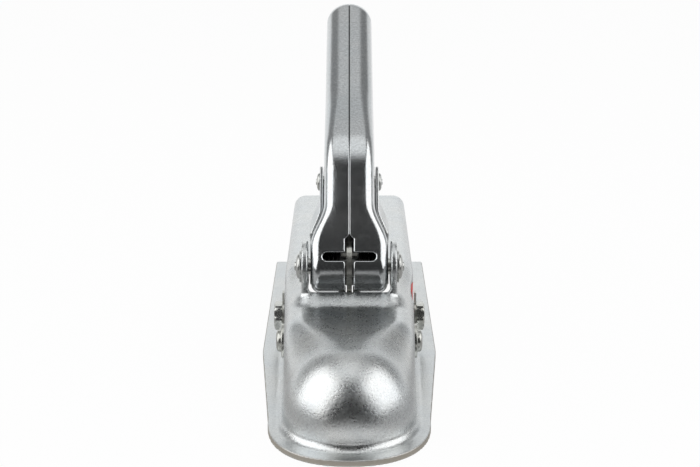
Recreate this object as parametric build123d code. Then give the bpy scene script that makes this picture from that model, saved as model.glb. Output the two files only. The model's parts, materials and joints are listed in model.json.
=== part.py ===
from build123d import *
import math
import os

# Trailer coupling head for a 50 mm ball on a 60 mm square drawbar, in millimetres.
# X is across, Y runs back from the ball towards the drawbar, Z is up.
# The origin is the centre of the ball.

# Sheet and clearances
BODY_SHEET = 3.0
LEVER_SHEET = 2.5
CATCH_SHEET = 1.6
PIN_GAP = 0.05
SLIDE_GAP = 0.3

# Ball and dome
BALL_R = 25.0
DOME_CLEARANCE = 1.7
DOME_R = BALL_R + DOME_CLEARANCE + BODY_SHEET
DOME_FLAT = 0.4

# Body pressing
FLANGE_TOP = -6.6
FLANGE_NOSE_Y = 2.0
FLANGE_NOSE_HALF = 37.0
FLANGE_NOSE_REACH = 40.7
FLANGE_NOSE_POWER = 2.25
FLANGE_HALF = 44.3
FLANGE_KNEE_Y = 86.0
FLANGE_KNEE_R = 30.0
FLANGE_BLEND_R = 3.6
BODY_END_Y = 232.0
DRAWBAR_SIZE = 60.0
CHANNEL_TOP = 35.4
TAPER_END_Y = 100.0
NECK_FULL_Y = 34.0
NECK_SHOULDER_R = 9.5
CHANNEL_SHOULDER_R = 7.0

# Step up to the channel's roof, lever opening and ears
STEP_START_Y = 50.6
STEP_END_Y = 57.8
STEP_SHOULDER_R = 10.5
OPENING_Y = 58.6
OPENING_END_Y = 106.0
OPENING_CORNER_R = 3.0
EAR_INNER = 20.05
EAR_R = 12.3
EAR_FOOT_Y = 90.0
EAR_BLEND_R = 2.0

# Lever pivot and its pin
PIVOT_Y = 67.5
PIVOT_Z = 45.5
LEVER_PIN_R = 4.0
LEVER_WASHER_R = 8.0
LEVER_WASHER_T = 1.2
LEVER_HEAD_R = 6.2
LEVER_HEAD_T = 2.6

# Lever: angles from level, lengths along its centre line
LEVER_FOOT_ANGLE = 58.2
GRIP_ANGLE = 26.2
FOOT_LENGTH = 53.5
GRIP_LENGTH = 130.0
LEVER_BEND_R = 30.0
LEVER_BARREL_R = 13.0
LEVER_FOOT_HALF = 18.7
LEVER_FOOT_EDGE_R = 4.5
STEM_DEPTH = 11.0
STEM_EDGE_R = 5.0
GRIP_HALF = 12.4
GRIP_BLEND = 40.0
GRIP_DEPTH = 9.2
GRIP_EDGE_R = 7.8
FLARE_START = 8.0
FLARE_END = 30.0
SEAM_WIDTH = 0.5
UPRIGHT_SLOT_WIDTH = 4.1
UPRIGHT_SLOT_TOP = 12.5
CROSS_SLOT_LENGTH = 27.0
CROSS_SLOT_HEIGHT = 4.5
CROSS_SLOT_S = 1.8
BACK_CUT_N = 2.5
BACK_CUT_S = 23.0

# Cam, slide and the two cross pins
LEVER_SWING = 60.0
SLIDE_ANGLE = 25.0
CAM_RADIUS = 16.5
CAM_PLATE_T = 2.5
CAM_EDGE_R = 12.6
CAM_LOBE_R = 5.5
CAM_TAB_WIDTH = 8.0
CAM_TAB_HEIGHT = 1.5
CAM_TAB_DEPTH = 3.0
DRIVE_PIN_R = 3.0
JAW_PIN_Y = 68.0
JAW_PIN_Z = 6.4
JAW_PIN_R = 5.0
JAW_HEAD_R = 8.6
JAW_HEAD_T = 2.0
JAW_BUTTON_R = 5.6
JAW_BUTTON_T = 2.6
GUIDE_Y = 97.0
GUIDE_Z = 8.8
GUIDE_BOLT_R = 4.0
GUIDE_HEX = 13.0
GUIDE_HEAD_T = 4.2
POINTER_T = 1.0
POINTER_TIP = 13.0
SLEEVE_WALL = 2.0

# Clamp jaw and fork plates
JAW_HALF = 20.0
JAW_TOP = 14.0
JAW_LIP_Z = -9.0
JAW_BACK_Y = 34.0
JAW_TENON_END_Y = 46.0
JAW_TENON_LOW = -6.5
JAW_TENON_HIGH = 8.5
FORK_T = 3.0
FORK_MARGIN = 3.2
JAW_RIVET_R = 2.5

# Safety catch and its pin, in the lever's own frame
CATCH_PIN_S = 43.5
CATCH_PIN_N = 2.0
CATCH_PIN_R = 3.0
CATCH_HEAD_R = 4.4
CATCH_HEAD_T = 1.8
CATCH_TOP_HALF = 14.6
CATCH_FOOT_HALF = 19.5
CATCH_DEPTH = 17.0
CATCH_FLARE = 17.0
CATCH_FRONT_N = -2.5
CATCH_SPLAY_N = 6.0
CATCH_SPLAY_S = 9.0
CATCH_SIDE_S = 15.5
CATCH_FOOT_S = -6.0

# Springs
LEVER_WIRE = 2.0
LEVER_COIL_R = 6.3
LEVER_COIL_TURNS = 4
CATCH_WIRE = 1.2
CATCH_COIL_R = 4.0
CATCH_COIL_TURNS = 3

# Indicator label and drawbar holes
LABEL_T = 0.3
RECESS_DEPTH = 1.0
RECESS_Y = 99.0
RECESS_Z = 23.5
RECESS_LENGTH = 14.0
RECESS_HEIGHT = 13.0
BOLT_HOLE_R = 6.25
BOLT_FIRST_Y = 150.0
BOLT_SPACING = 54.0
BOLT_Z = 4.0

# Worked-out values
FLANGE_BOTTOM = FLANGE_TOP - BODY_SHEET
CHANNEL_HALF = DRAWBAR_SIZE / 2 + BODY_SHEET
EAR_OUTER = EAR_INNER + BODY_SHEET
CAM_REST_ANGLE = SLIDE_ANGLE - 90 - LEVER_SWING / 2
TRAVEL = 2 * CAM_RADIUS * math.sin(math.radians(LEVER_SWING / 2))
TRAVEL_Y = TRAVEL * math.cos(math.radians(SLIDE_ANGLE))
TRAVEL_Z = TRAVEL * math.sin(math.radians(SLIDE_ANGLE))
DRIVE_Y = PIVOT_Y + CAM_RADIUS * math.cos(math.radians(CAM_REST_ANGLE))
DRIVE_Z = PIVOT_Z + CAM_RADIUS * math.sin(math.radians(CAM_REST_ANGLE))
FORK_INNER = CAM_PLATE_T / 2 + 0.5
FORK_OUTER = FORK_INNER + FORK_T
POINTER_X = CHANNEL_HALF + SLIDE_GAP
BELOW = 40.0


def half_width(y):
    """Outer half-width of the pressing's side walls at a station along its length."""
    return DOME_R + (CHANNEL_HALF - DOME_R) * min(y / TAPER_END_Y, 1.0)


def top_height(y):
    """Outer height of the pressing's roof at a station along its length."""
    rise = (y - STEP_START_Y) / (STEP_END_Y - STEP_START_Y)
    return DOME_R + (CHANNEL_TOP - DOME_R) * min(max(rise, 0.0), 1.0)


def side_prism(sketch, x_start, x_end):
    """Solid from a side-view sketch, local x along Y and local y along Z, between two stations in X."""
    return extrude(Plane.YZ.offset(x_start) * sketch, amount=x_end - x_start)


def cross_pin(y, z, radius, x_start, x_end):
    """Round bar across the part."""
    return side_prism(Pos(y, z) * Circle(radius), x_start, x_end)


def slot_sketch(y, z, radius):
    """Slot in side view from a pin's place at rest to its place at full travel, back and up."""
    middle = Pos(y + TRAVEL_Y / 2, z + TRAVEL_Z / 2)
    return middle * Rot(0, 0, SLIDE_ANGLE) * SlotCenterToCenter(TRAVEL, 2 * radius)


def both_sides(solid):
    """A solid and its mirror image across the middle plane."""
    return solid + mirror(solid, about=Plane.YZ)


def hat_section(y, radius, inset):
    """Inverted-U section of the pressing, set in by the sheet for the inner surface."""
    width = half_width(y) - inset
    height = top_height(y) - inset - FLANGE_BOTTOM
    corner = radius - inset
    sketch = Pos(0, FLANGE_BOTTOM) * Rectangle(2 * width, height, align=(Align.CENTER, Align.MIN))
    sketch = fillet(sketch.vertices().group_by(Axis.Y)[-1], corner)
    return Plane(origin=(0, y, 0), x_dir=(1, 0, 0), z_dir=(0, -1, 0)) * sketch


def pressing_core(inset, end_y):
    """Dome, neck and channel as one solid block, for the outer or the inner surface."""
    dome_half = hat_section(0, DOME_R - DOME_FLAT, inset) & Pos(BELOW, 0, 0) * Box(2 * BELOW, 1, 4 * BELOW)
    dome = Rot(0, 0, 180) * revolve(dome_half, axis=Axis.Z, revolution_arc=180)
    stations = [
        hat_section(0, DOME_R - DOME_FLAT, inset),
        hat_section(NECK_FULL_Y, NECK_SHOULDER_R, inset),
        hat_section(STEP_START_Y, NECK_SHOULDER_R, inset),
        hat_section(STEP_END_Y, STEP_SHOULDER_R, inset),
        hat_section(TAPER_END_Y, CHANNEL_SHOULDER_R, inset),
        hat_section(end_y, CHANNEL_SHOULDER_R, inset),
    ]
    return dome + loft(stations, ruled=True)


def flange_outline():
    """Plan of the bottom flange: blunt round nose, sides that widen to a knee, then parallel."""
    power = 2 / FLANGE_NOSE_POWER
    points = []
    for step in range(13):
        turn = math.pi * step / 12
        across = math.copysign(abs(math.cos(turn)) ** power, math.cos(turn))
        points.append((FLANGE_NOSE_HALF * across, FLANGE_NOSE_Y - FLANGE_NOSE_REACH * abs(math.sin(turn)) ** power))
    side = (FLANGE_HALF - FLANGE_NOSE_HALF, FLANGE_KNEE_Y - FLANGE_NOSE_Y)
    nose = Spline(*points, tangents=((-side[0], -side[1]), (-side[0], side[1])))
    sides = Polyline(
        points[-1],
        (-FLANGE_HALF, FLANGE_KNEE_Y),
        (-FLANGE_HALF, BODY_END_Y),
        (FLANGE_HALF, BODY_END_Y),
        (FLANGE_HALF, FLANGE_KNEE_Y),
        points[0],
    )
    outline = make_face([nose, sides])
    knees = [v for v in outline.vertices() if abs(v.Y - FLANGE_KNEE_Y) < 0.01]
    return fillet(knees, FLANGE_KNEE_R)


def flange_blend():
    """Hollow curve between the side walls and the flange, round the dome and along both sides."""
    radius = FLANGE_BLEND_R
    sink = BODY_SHEET / 4
    curve = ThreePointArc((radius, 0), (radius * (1 - math.sqrt(0.5)), radius * (1 - math.sqrt(0.5))), (0, radius))
    rest = Polyline((0, radius), (-sink, radius), (-sink, -sink), (radius, -sink), (radius, 0))
    section = make_face([curve, rest])
    nose_plane = Plane(origin=(DOME_R, 0, FLANGE_TOP), x_dir=(1, 0, 0), z_dir=(0, -1, 0))
    nose = Rot(0, 0, 180) * revolve(nose_plane * section, axis=Axis.Z, revolution_arc=180)
    slope = math.atan2(CHANNEL_HALF - DOME_R, TAPER_END_Y)
    across = (math.cos(slope), -math.sin(slope), 0)
    along = (math.sin(slope), math.cos(slope), 0)
    neck_plane = Plane(origin=(DOME_R, 0, FLANGE_TOP), x_dir=across, z_dir=tuple(-v for v in along))
    neck = extrude(neck_plane * section, amount=-TAPER_END_Y / math.cos(slope))
    rear_plane = Plane(origin=(CHANNEL_HALF, TAPER_END_Y, FLANGE_TOP), x_dir=(1, 0, 0), z_dir=(0, -1, 0))
    rear = extrude(rear_plane * section, amount=TAPER_END_Y - BODY_END_Y)
    return nose + both_sides(neck + rear)


def ears():
    """Two round lugs turned up from the roof along the sides of the lever opening."""
    foot = Pos((OPENING_Y + EAR_FOOT_Y) / 2, CHANNEL_TOP - BODY_SHEET / 2)
    foot = foot * Rectangle(EAR_FOOT_Y - OPENING_Y, BODY_SHEET)
    outline = make_hull(foot.edges() + (Pos(PIVOT_Y, PIVOT_Z) * Circle(EAR_R)).edges())
    curve = ThreePointArc(
        (EAR_BLEND_R, 0),
        (EAR_BLEND_R * (1 - math.sqrt(0.5)), EAR_BLEND_R * (1 - math.sqrt(0.5))),
        (0, EAR_BLEND_R),
    )
    sink = BODY_SHEET / 4
    rest = Polyline((0, EAR_BLEND_R), (-sink, EAR_BLEND_R), (-sink, -sink), (EAR_BLEND_R, -sink), (EAR_BLEND_R, 0))
    start = Plane(origin=(EAR_OUTER, OPENING_Y, CHANNEL_TOP), x_dir=(1, 0, 0), z_dir=(0, -1, 0))
    bend = extrude(start * make_face([curve, rest]), amount=OPENING_Y - EAR_FOOT_Y)
    return both_sides(side_prism(outline, EAR_INNER, EAR_OUTER) + bend)


def lever_opening():
    """Opening in the roof that the lever's foot and the cam work through."""
    length = OPENING_END_Y - OPENING_Y
    plan = Pos(0, OPENING_Y) * Rectangle(2 * EAR_INNER, length, align=(Align.CENTER, Align.MIN))
    plan = fillet(plan.vertices(), OPENING_CORNER_R)
    return Pos(0, 0, CHANNEL_TOP / 2) * extrude(plan, amount=2 * BELOW)


def make_body_shell():
    """The one-piece pressing."""
    outer = pressing_core(0, BODY_END_Y)
    flange = Pos(0, 0, FLANGE_BOTTOM) * extrude(flange_outline(), amount=BODY_SHEET)
    outer = outer + flange + flange_blend()
    shell = outer + ears()
    shell = shell - pressing_core(BODY_SHEET, BODY_END_Y + 1) - lever_opening()
    reach = FLANGE_HALF + 1
    shell -= cross_pin(PIVOT_Y, PIVOT_Z, LEVER_PIN_R + PIN_GAP, -reach, reach)
    shell -= cross_pin(JAW_PIN_Y, JAW_PIN_Z, JAW_PIN_R + PIN_GAP, -reach, reach)
    shell -= side_prism(slot_sketch(GUIDE_Y, GUIDE_Z, GUIDE_BOLT_R + SLIDE_GAP), -reach, reach)
    shell -= both_sides(cross_pin(JAW_PIN_Y, JAW_PIN_Z, JAW_HEAD_R + 0.5, jaw_seat(), reach))
    recess = Pos(RECESS_Y, RECESS_Z) * RectangleRounded(RECESS_LENGTH, RECESS_HEIGHT, 3)
    shell -= both_sides(side_prism(recess, half_width(RECESS_Y) - RECESS_DEPTH, reach))
    for index in range(2):
        shell -= cross_pin(BOLT_FIRST_Y + index * BOLT_SPACING, BOLT_Z, BOLT_HOLE_R, -reach, reach)
    return shell


def jaw_seat():
    """Flat seat of the jaw pin's heads, just inside the tapering wall."""
    return half_width(JAW_PIN_Y - JAW_HEAD_R - 0.5) - 0.05


def lever_point(s, n):
    """Point in side view from the lever's own frame: s up its foot from the pivot, n to its back."""
    angle = math.radians(LEVER_FOOT_ANGLE)
    y = PIVOT_Y + s * math.cos(angle) + n * math.sin(angle)
    z = PIVOT_Z + s * math.sin(angle) - n * math.cos(angle)
    return (y, z)


def lever_frame():
    """Placement of a side-view sketch drawn with local x along s and local y along minus n."""
    return Pos(PIVOT_Y, PIVOT_Z) * Rot(0, 0, LEVER_FOOT_ANGLE)


def lever_front_plane():
    """Plane through the pivot, facing out of the lever's front, with local y up its foot."""
    angle = math.radians(LEVER_FOOT_ANGLE)
    return Plane(origin=(0, PIVOT_Y, PIVOT_Z), x_dir=(1, 0, 0), z_dir=(0, -math.sin(angle), math.cos(angle)))


def lever_path(distance):
    """Point and angle on the lever's centre line, which bends once between foot and grip."""
    turn = LEVER_FOOT_ANGLE - GRIP_ANGLE
    tangent = LEVER_BEND_R * math.tan(math.radians(turn / 2))
    arc = math.radians(turn) * LEVER_BEND_R
    start = FOOT_LENGTH - tangent
    if distance <= start:
        return lever_point(distance, 0), LEVER_FOOT_ANGLE
    swept = min((distance - start) / LEVER_BEND_R, math.radians(turn))
    angle = LEVER_FOOT_ANGLE - math.degrees(swept)
    first = math.radians(LEVER_FOOT_ANGLE)
    last = math.radians(angle)
    y, z = lever_point(start, 0)
    y += LEVER_BEND_R * (math.sin(first) - math.sin(last))
    z += LEVER_BEND_R * (math.cos(last) - math.cos(first))
    straight = max(distance - start - arc, 0.0)
    return (y + straight * math.cos(last), z + straight * math.sin(last)), angle


def lever_section(distance, half, depth, edge, inset):
    """Rounded box section of the folded lever across its centre line."""
    (y, z), angle = lever_path(distance)
    run = (0, math.cos(math.radians(angle)), math.sin(math.radians(angle)))
    plane = Plane(origin=(0, y, z), x_dir=(1, 0, 0), z_dir=run)
    return plane * RectangleRounded(2 * (half - inset), 2 * (depth - inset), edge - inset)


def lever_core(inset):
    """Lever as one block, for the outer or the inner surface: round foot, flared stem, bend, grip, tip."""
    turn = LEVER_FOOT_ANGLE - GRIP_ANGLE
    bend_start = FOOT_LENGTH - LEVER_BEND_R * math.tan(math.radians(turn / 2))
    bend_end = bend_start + LEVER_BEND_R * math.radians(turn)
    tip_start = FOOT_LENGTH + GRIP_LENGTH - GRIP_HALF
    flare = LEVER_FOOT_HALF - GRIP_HALF
    foot = [lever_section(0.0, LEVER_FOOT_HALF, LEVER_BARREL_R, LEVER_FOOT_EDGE_R, inset)]
    for share in (0.0, 0.25, 0.5, 0.75, 1.0):
        ease = share * share * (3 - 2 * share)
        place = FLARE_START + share * (FLARE_END - FLARE_START)
        half = LEVER_FOOT_HALF - flare * ease
        foot.append(lever_section(place, half, LEVER_BARREL_R - ease, LEVER_FOOT_EDGE_R, inset))
    bend = lever_section(bend_start, GRIP_HALF, STEM_DEPTH, STEM_EDGE_R, inset)
    grip = lever_section(bend_end, GRIP_HALF, STEM_DEPTH, STEM_EDGE_R, inset)
    waist = lever_section(bend_end + GRIP_BLEND, GRIP_HALF, GRIP_DEPTH, GRIP_EDGE_R, inset)
    tip = lever_section(tip_start, GRIP_HALF, GRIP_DEPTH, GRIP_EDGE_R, inset)
    front_room = lever_frame() * Pos(0, BELOW) * Rectangle(BELOW, 2 * BELOW)
    front_half = foot[0] & side_prism(front_room, -BELOW, BELOW)
    core = revolve(front_half, axis=Axis((0, PIVOT_Y, PIVOT_Z), (1, 0, 0)), revolution_arc=180)
    core += loft(foot)
    core += loft([foot[-1], bend], ruled=True)
    core += revolve(bend, axis=Axis((0, *lever_point(bend_start, LEVER_BEND_R)), (-1, 0, 0)), revolution_arc=turn)
    core += loft([grip, waist], ruled=True)
    core += loft([waist, tip], ruled=True)
    (y, z), angle = lever_path(tip_start)
    up = (0, -math.sin(math.radians(angle)), math.cos(math.radians(angle)))
    right_half = tip & Pos(BELOW, y, z) * Box(2 * BELOW, 2 * BELOW, 2 * BELOW)
    return core + revolve(right_half, axis=Axis((0, y, z), up), revolution_arc=180)


def make_lever():
    """Folded sheet lever with its butt seam, cross-shaped slot and open back at the foot."""
    lever = lever_core(0) - lever_core(LEVER_SHEET)
    cheek_inner = LEVER_FOOT_HALF - LEVER_SHEET
    back_cut = lever_frame() * Pos(0, -BELOW / 2 - BACK_CUT_N) * Rectangle(2 * BACK_CUT_S, BELOW)
    lever -= side_prism(back_cut, -cheek_inner, cheek_inner)
    front = lever_front_plane()
    half = UPRIGHT_SLOT_WIDTH / 2
    upright = make_face(Polyline(
        (-half, -2 * LEVER_BARREL_R),
        (half, -2 * LEVER_BARREL_R),
        (half, UPRIGHT_SLOT_TOP - half),
        (0, UPRIGHT_SLOT_TOP),
        (-half, UPRIGHT_SLOT_TOP - half),
        (-half, -2 * LEVER_BARREL_R),
    ))
    cross = Pos(0, CROSS_SLOT_S) * SlotOverall(CROSS_SLOT_LENGTH, CROSS_SLOT_HEIGHT)
    lever -= extrude(front.offset(-BACK_CUT_N) * (upright + cross), amount=2 * LEVER_BARREL_R)
    seam = Pos(0, FOOT_LENGTH) * Rectangle(SEAM_WIDTH, 2 * FOOT_LENGTH - 2 * UPRIGHT_SLOT_TOP + 2)
    lever -= extrude(front * seam, amount=2 * LEVER_BARREL_R)
    (y, z), angle = lever_path(FOOT_LENGTH + GRIP_LENGTH / 2)
    up = (0, -math.sin(math.radians(angle)), math.cos(math.radians(angle)))
    grip_plane = Plane(origin=(0, y, z), x_dir=(1, 0, 0), z_dir=up)
    grip_seam = Pos(0, -3) * Rectangle(SEAM_WIDTH, GRIP_LENGTH - 4)
    lever -= extrude(grip_plane * grip_seam, amount=2 * LEVER_BARREL_R)
    lever -= cross_pin(PIVOT_Y, PIVOT_Z, LEVER_PIN_R + PIN_GAP, -BELOW, BELOW)
    pin_y, pin_z = lever_point(CATCH_PIN_S, CATCH_PIN_N)
    return lever - cross_pin(pin_y, pin_z, CATCH_PIN_R + PIN_GAP, -BELOW, BELOW)


def make_lever_pin():
    """Pivot rivet through the ears, with a button head each side."""
    seat = EAR_OUTER + LEVER_WASHER_T
    pin = cross_pin(PIVOT_Y, PIVOT_Z, LEVER_PIN_R, -seat, seat)
    head = cross_pin(PIVOT_Y, PIVOT_Z, LEVER_HEAD_R, seat, seat + LEVER_HEAD_T)
    head = chamfer(head.edges().group_by(Axis.X)[-1], LEVER_HEAD_T * 0.5)
    return pin + both_sides(head)


def make_lever_washers():
    """Washers between the ears and the pivot rivet's heads."""
    ring = Pos(PIVOT_Y, PIVOT_Z) * (Circle(LEVER_WASHER_R) - Circle(LEVER_PIN_R + PIN_GAP))
    return both_sides(side_prism(ring, EAR_OUTER, EAR_OUTER + LEVER_WASHER_T))


def make_spring_bushes():
    """Bushes on the lever pin that keep the cam plate in the middle and carry the spring."""
    ring = Pos(PIVOT_Y, PIVOT_Z) * (Circle(LEVER_COIL_R - LEVER_WIRE / 2 - PIN_GAP)
                                    - Circle(LEVER_PIN_R + PIN_GAP))
    outer_end = LEVER_FOOT_HALF - LEVER_SHEET - 0.1
    return both_sides(side_prism(ring, CAM_PLATE_T / 2 + 0.1, outer_end))


def coil(radius, wire, turns, x_start, y, z):
    """Helical spring along X, its wire drawn with six sides to keep it light."""
    path = Helix(pitch=wire * 1.06, height=turns * wire * 1.06, radius=radius)
    section = Plane(origin=path @ 0, z_dir=path % 0) * RegularPolygon(wire / 2, 6)
    spring = sweep(section, path=path, is_frenet=True)
    return Pos(x_start, y, z) * Rot(0, 90, 0) * spring


def make_lever_spring():
    """Pair of spring coils on the bushes either side of the cam plate."""
    start = CAM_PLATE_T / 2 + 3.2
    return both_sides(coil(LEVER_COIL_R, LEVER_WIRE, LEVER_COIL_TURNS, start, PIVOT_Y, PIVOT_Z))


def make_cam_plate():
    """Upright plate in the lever: round edge in the slot, lobe for the drive pin, tail to the catch pin."""
    pivot = Pos(PIVOT_Y, PIVOT_Z)
    lobe = make_hull((pivot * Circle(CAM_LOBE_R + 3)).edges()
                     + (Pos(DRIVE_Y, DRIVE_Z) * Circle(CAM_LOBE_R)).edges())
    pin_y, pin_z = lever_point(CATCH_PIN_S, CATCH_PIN_N)
    tail = make_hull((pivot * Circle(CAM_LOBE_R + 2)).edges()
                     + (Pos(pin_y, pin_z) * Circle(CATCH_PIN_R + 3)).edges())
    outline = pivot * Circle(CAM_EDGE_R) + lobe + tail
    outline -= pivot * Circle(LEVER_PIN_R + PIN_GAP)
    outline -= Pos(DRIVE_Y, DRIVE_Z) * Circle(DRIVE_PIN_R + PIN_GAP)
    outline -= Pos(pin_y, pin_z) * Circle(CATCH_PIN_R + PIN_GAP)
    plate = side_prism(outline, -CAM_PLATE_T / 2, CAM_PLATE_T / 2)
    tab_s = CROSS_SLOT_S + CROSS_SLOT_HEIGHT / 2 - CAM_TAB_HEIGHT / 2 - SLIDE_GAP
    tab = Pos(0, tab_s) * RectangleRounded(CAM_TAB_WIDTH, CAM_TAB_HEIGHT, CAM_TAB_HEIGHT / 3)
    tabs = extrude(lever_front_plane().offset(CAM_EDGE_R - CAM_TAB_DEPTH - 0.5) * tab, amount=CAM_TAB_DEPTH)
    return plate + tabs


def make_drive_pin():
    """Pin across the cam's lobe that pulls both fork plates."""
    return cross_pin(DRIVE_Y, DRIVE_Z, DRIVE_PIN_R, -FORK_OUTER - 0.6, FORK_OUTER + 0.6)


def make_jaw_pin():
    """Large cross rivet that the fork plates slide on, with disc heads."""
    seat = jaw_seat()
    pin = cross_pin(JAW_PIN_Y, JAW_PIN_Z, JAW_PIN_R, -seat, seat)
    disc = cross_pin(JAW_PIN_Y, JAW_PIN_Z, JAW_HEAD_R, seat, seat + JAW_HEAD_T)
    disc = chamfer(disc.edges().group_by(Axis.X)[-1], JAW_HEAD_T * 0.35)
    button = cross_pin(JAW_PIN_Y, JAW_PIN_Z, JAW_BUTTON_R, seat + JAW_HEAD_T, seat + JAW_HEAD_T + JAW_BUTTON_T)
    button = chamfer(button.edges().group_by(Axis.X)[-1], JAW_BUTTON_T * 0.5)
    return pin + both_sides(disc + button)


def make_sleeves(y, z, radius, outer_end):
    """Pair of spacer tubes that hold the fork plates in the middle of a cross pin."""
    ring = Pos(y, z) * (Circle(radius + SLEEVE_WALL) - Circle(radius + PIN_GAP))
    return both_sides(side_prism(ring, FORK_OUTER + SLIDE_GAP, outer_end))


def make_fork_plates():
    """Two side-by-side plates: tenon end, slot on the jaw pin, hole for the guide bolt, open drive slot."""
    slot_front_y = JAW_PIN_Y - TRAVEL_Y
    slot_front_z = JAW_PIN_Z - TRAVEL_Z
    slot_r = JAW_PIN_R + SLIDE_GAP
    rim = slot_r + FORK_MARGIN
    front_length = slot_front_y - JAW_BACK_Y - 0.2
    tongue = Pos(JAW_BACK_Y + 0.2 + front_length / 2, (JAW_TENON_LOW + JAW_TENON_HIGH) / 2)
    tongue = tongue * Rectangle(front_length, JAW_TENON_HIGH - JAW_TENON_LOW)
    bar = make_hull((Pos(slot_front_y, slot_front_z) * Circle(rim)).edges()
                    + (Pos(JAW_PIN_Y, JAW_PIN_Z) * Circle(rim)).edges()
                    + (Pos(GUIDE_Y, GUIDE_Z) * Circle(GUIDE_BOLT_R + FORK_MARGIN)).edges())
    drive = Pos(DRIVE_Y, DRIVE_Z) * Rot(0, 0, SLIDE_ANGLE)
    prong_top = 0.9
    prong_length = DRIVE_Z - JAW_PIN_Z + prong_top
    prong = drive * Pos(0, prong_top) * Rectangle(4 * DRIVE_PIN_R + 4, prong_length,
                                                  align=(Align.CENTER, Align.MAX))
    sag = CAM_RADIUS * (1 - math.cos(math.radians(LEVER_SWING / 2)))
    notch_low = sag + DRIVE_PIN_R + SLIDE_GAP
    notch = drive * Pos(0, -notch_low) * Rectangle(2 * (DRIVE_PIN_R + SLIDE_GAP), 4 * notch_low,
                                                   align=(Align.CENTER, Align.MIN))
    outline = tongue + bar + prong - notch
    outline -= Pos(-TRAVEL_Y, -TRAVEL_Z) * slot_sketch(JAW_PIN_Y, JAW_PIN_Z, slot_r)
    outline -= Pos(GUIDE_Y, GUIDE_Z) * Circle(GUIDE_BOLT_R + PIN_GAP)
    for y, z in jaw_rivet_places():
        outline -= Pos(y, z) * Circle(JAW_RIVET_R + PIN_GAP)
    return both_sides(side_prism(outline, FORK_INNER, FORK_OUTER))


def jaw_rivet_places():
    """Side-view places of the two rivets through the jaw's tenon."""
    y = (JAW_BACK_Y + JAW_TENON_END_Y) / 2
    middle = (JAW_TENON_LOW + JAW_TENON_HIGH) / 2
    return [(y - 2.2, middle - 3.6), (y + 2.2, middle + 3.6)]


def make_clamp_jaw():
    """Forged jaw with a ball-shaped cup, and the tenon that the fork plates grip."""
    block = make_face(Polyline(
        (9, JAW_LIP_Z), (JAW_BACK_Y - 3, JAW_LIP_Z), (JAW_BACK_Y, JAW_LIP_Z + 3),
        (JAW_BACK_Y, JAW_TOP - 4), (JAW_BACK_Y - 4, JAW_TOP), (14, JAW_TOP), (9, JAW_LIP_Z),
    ))
    jaw = side_prism(block, -JAW_HALF, JAW_HALF)
    rear_edges = jaw.edges().filter_by(Axis.Z).group_by(Axis.Y)[-1]
    jaw = fillet(rear_edges, 6)
    jaw -= Sphere(BALL_R + SLIDE_GAP)
    tenon = Pos((JAW_BACK_Y + JAW_TENON_END_Y) / 2 - 1, (JAW_TENON_LOW + JAW_TENON_HIGH) / 2)
    tenon = tenon * Rectangle(JAW_TENON_END_Y - JAW_BACK_Y + 2, JAW_TENON_HIGH - JAW_TENON_LOW)
    jaw += side_prism(tenon, -FORK_INNER, FORK_INNER)
    for y, z in jaw_rivet_places():
        jaw -= cross_pin(y, z, JAW_RIVET_R + PIN_GAP, -BELOW, BELOW)
    return jaw


def make_jaw_rivets():
    """Two flat-headed rivets through fork plates and tenon."""
    rivets = []
    for y, z in jaw_rivet_places():
        rivet = cross_pin(y, z, JAW_RIVET_R, -FORK_OUTER, FORK_OUTER)
        rivet += both_sides(cross_pin(y, z, JAW_RIVET_R + 1.2, FORK_OUTER, FORK_OUTER + 1.2))
        rivets.append(rivet)
    return Compound(rivets)


def hexagon(x_start, x_end):
    """Hexagon on the guide bolt's axis with its outer corners turned off."""
    corner_r = GUIDE_HEX / math.sqrt(3)
    sketch = Pos(GUIDE_Y, GUIDE_Z) * RegularPolygon(corner_r, 6)
    solid = side_prism(sketch, x_start, x_end)
    turned = cross_pin(GUIDE_Y, GUIDE_Z, corner_r, x_start, x_end)
    end = turned.edges().group_by(Axis.X)[-1 if x_end > 0 else 0]
    return solid & chamfer(end, 0.6, 1.2)


def make_guide_bolt():
    """Hexagon bolt through both walls, fork plates and sleeves."""
    seat = POINTER_X + POINTER_T
    shank = cross_pin(GUIDE_Y, GUIDE_Z, GUIDE_BOLT_R, -seat - GUIDE_HEAD_T - 1.2, seat)
    return shank + hexagon(seat, seat + GUIDE_HEAD_T)


def make_guide_nut():
    """Nut on the guide bolt's other end."""
    seat = POINTER_X + POINTER_T
    nut = hexagon(-seat - GUIDE_HEAD_T, -seat)
    return nut - cross_pin(GUIDE_Y, GUIDE_Z, GUIDE_BOLT_R + PIN_GAP, -BELOW, BELOW)


def make_pointer_plates():
    """Thin plates under bolt head and nut, each with a tip that points at the indicator."""
    tip = Pos(0, 0) * Rectangle(4.0, POINTER_TIP, align=(Align.CENTER, Align.MIN))
    plate = Circle(GUIDE_HEX / 2 + 1.2) + tip - Circle(GUIDE_BOLT_R + PIN_GAP)
    return both_sides(side_prism(Pos(GUIDE_Y, GUIDE_Z) * plate, POINTER_X, POINTER_X + POINTER_T))


def make_indicator_label():
    """Thin label that lies in the right-hand recess."""
    floor = half_width(RECESS_Y) - RECESS_DEPTH
    sketch = Pos(RECESS_Y, RECESS_Z) * RectangleRounded(RECESS_LENGTH - 1, RECESS_HEIGHT - 1, 2.5)
    film = side_prism(sketch, floor, floor + LABEL_T)
    return film & pressing_core(0, BODY_END_Y)


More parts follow.
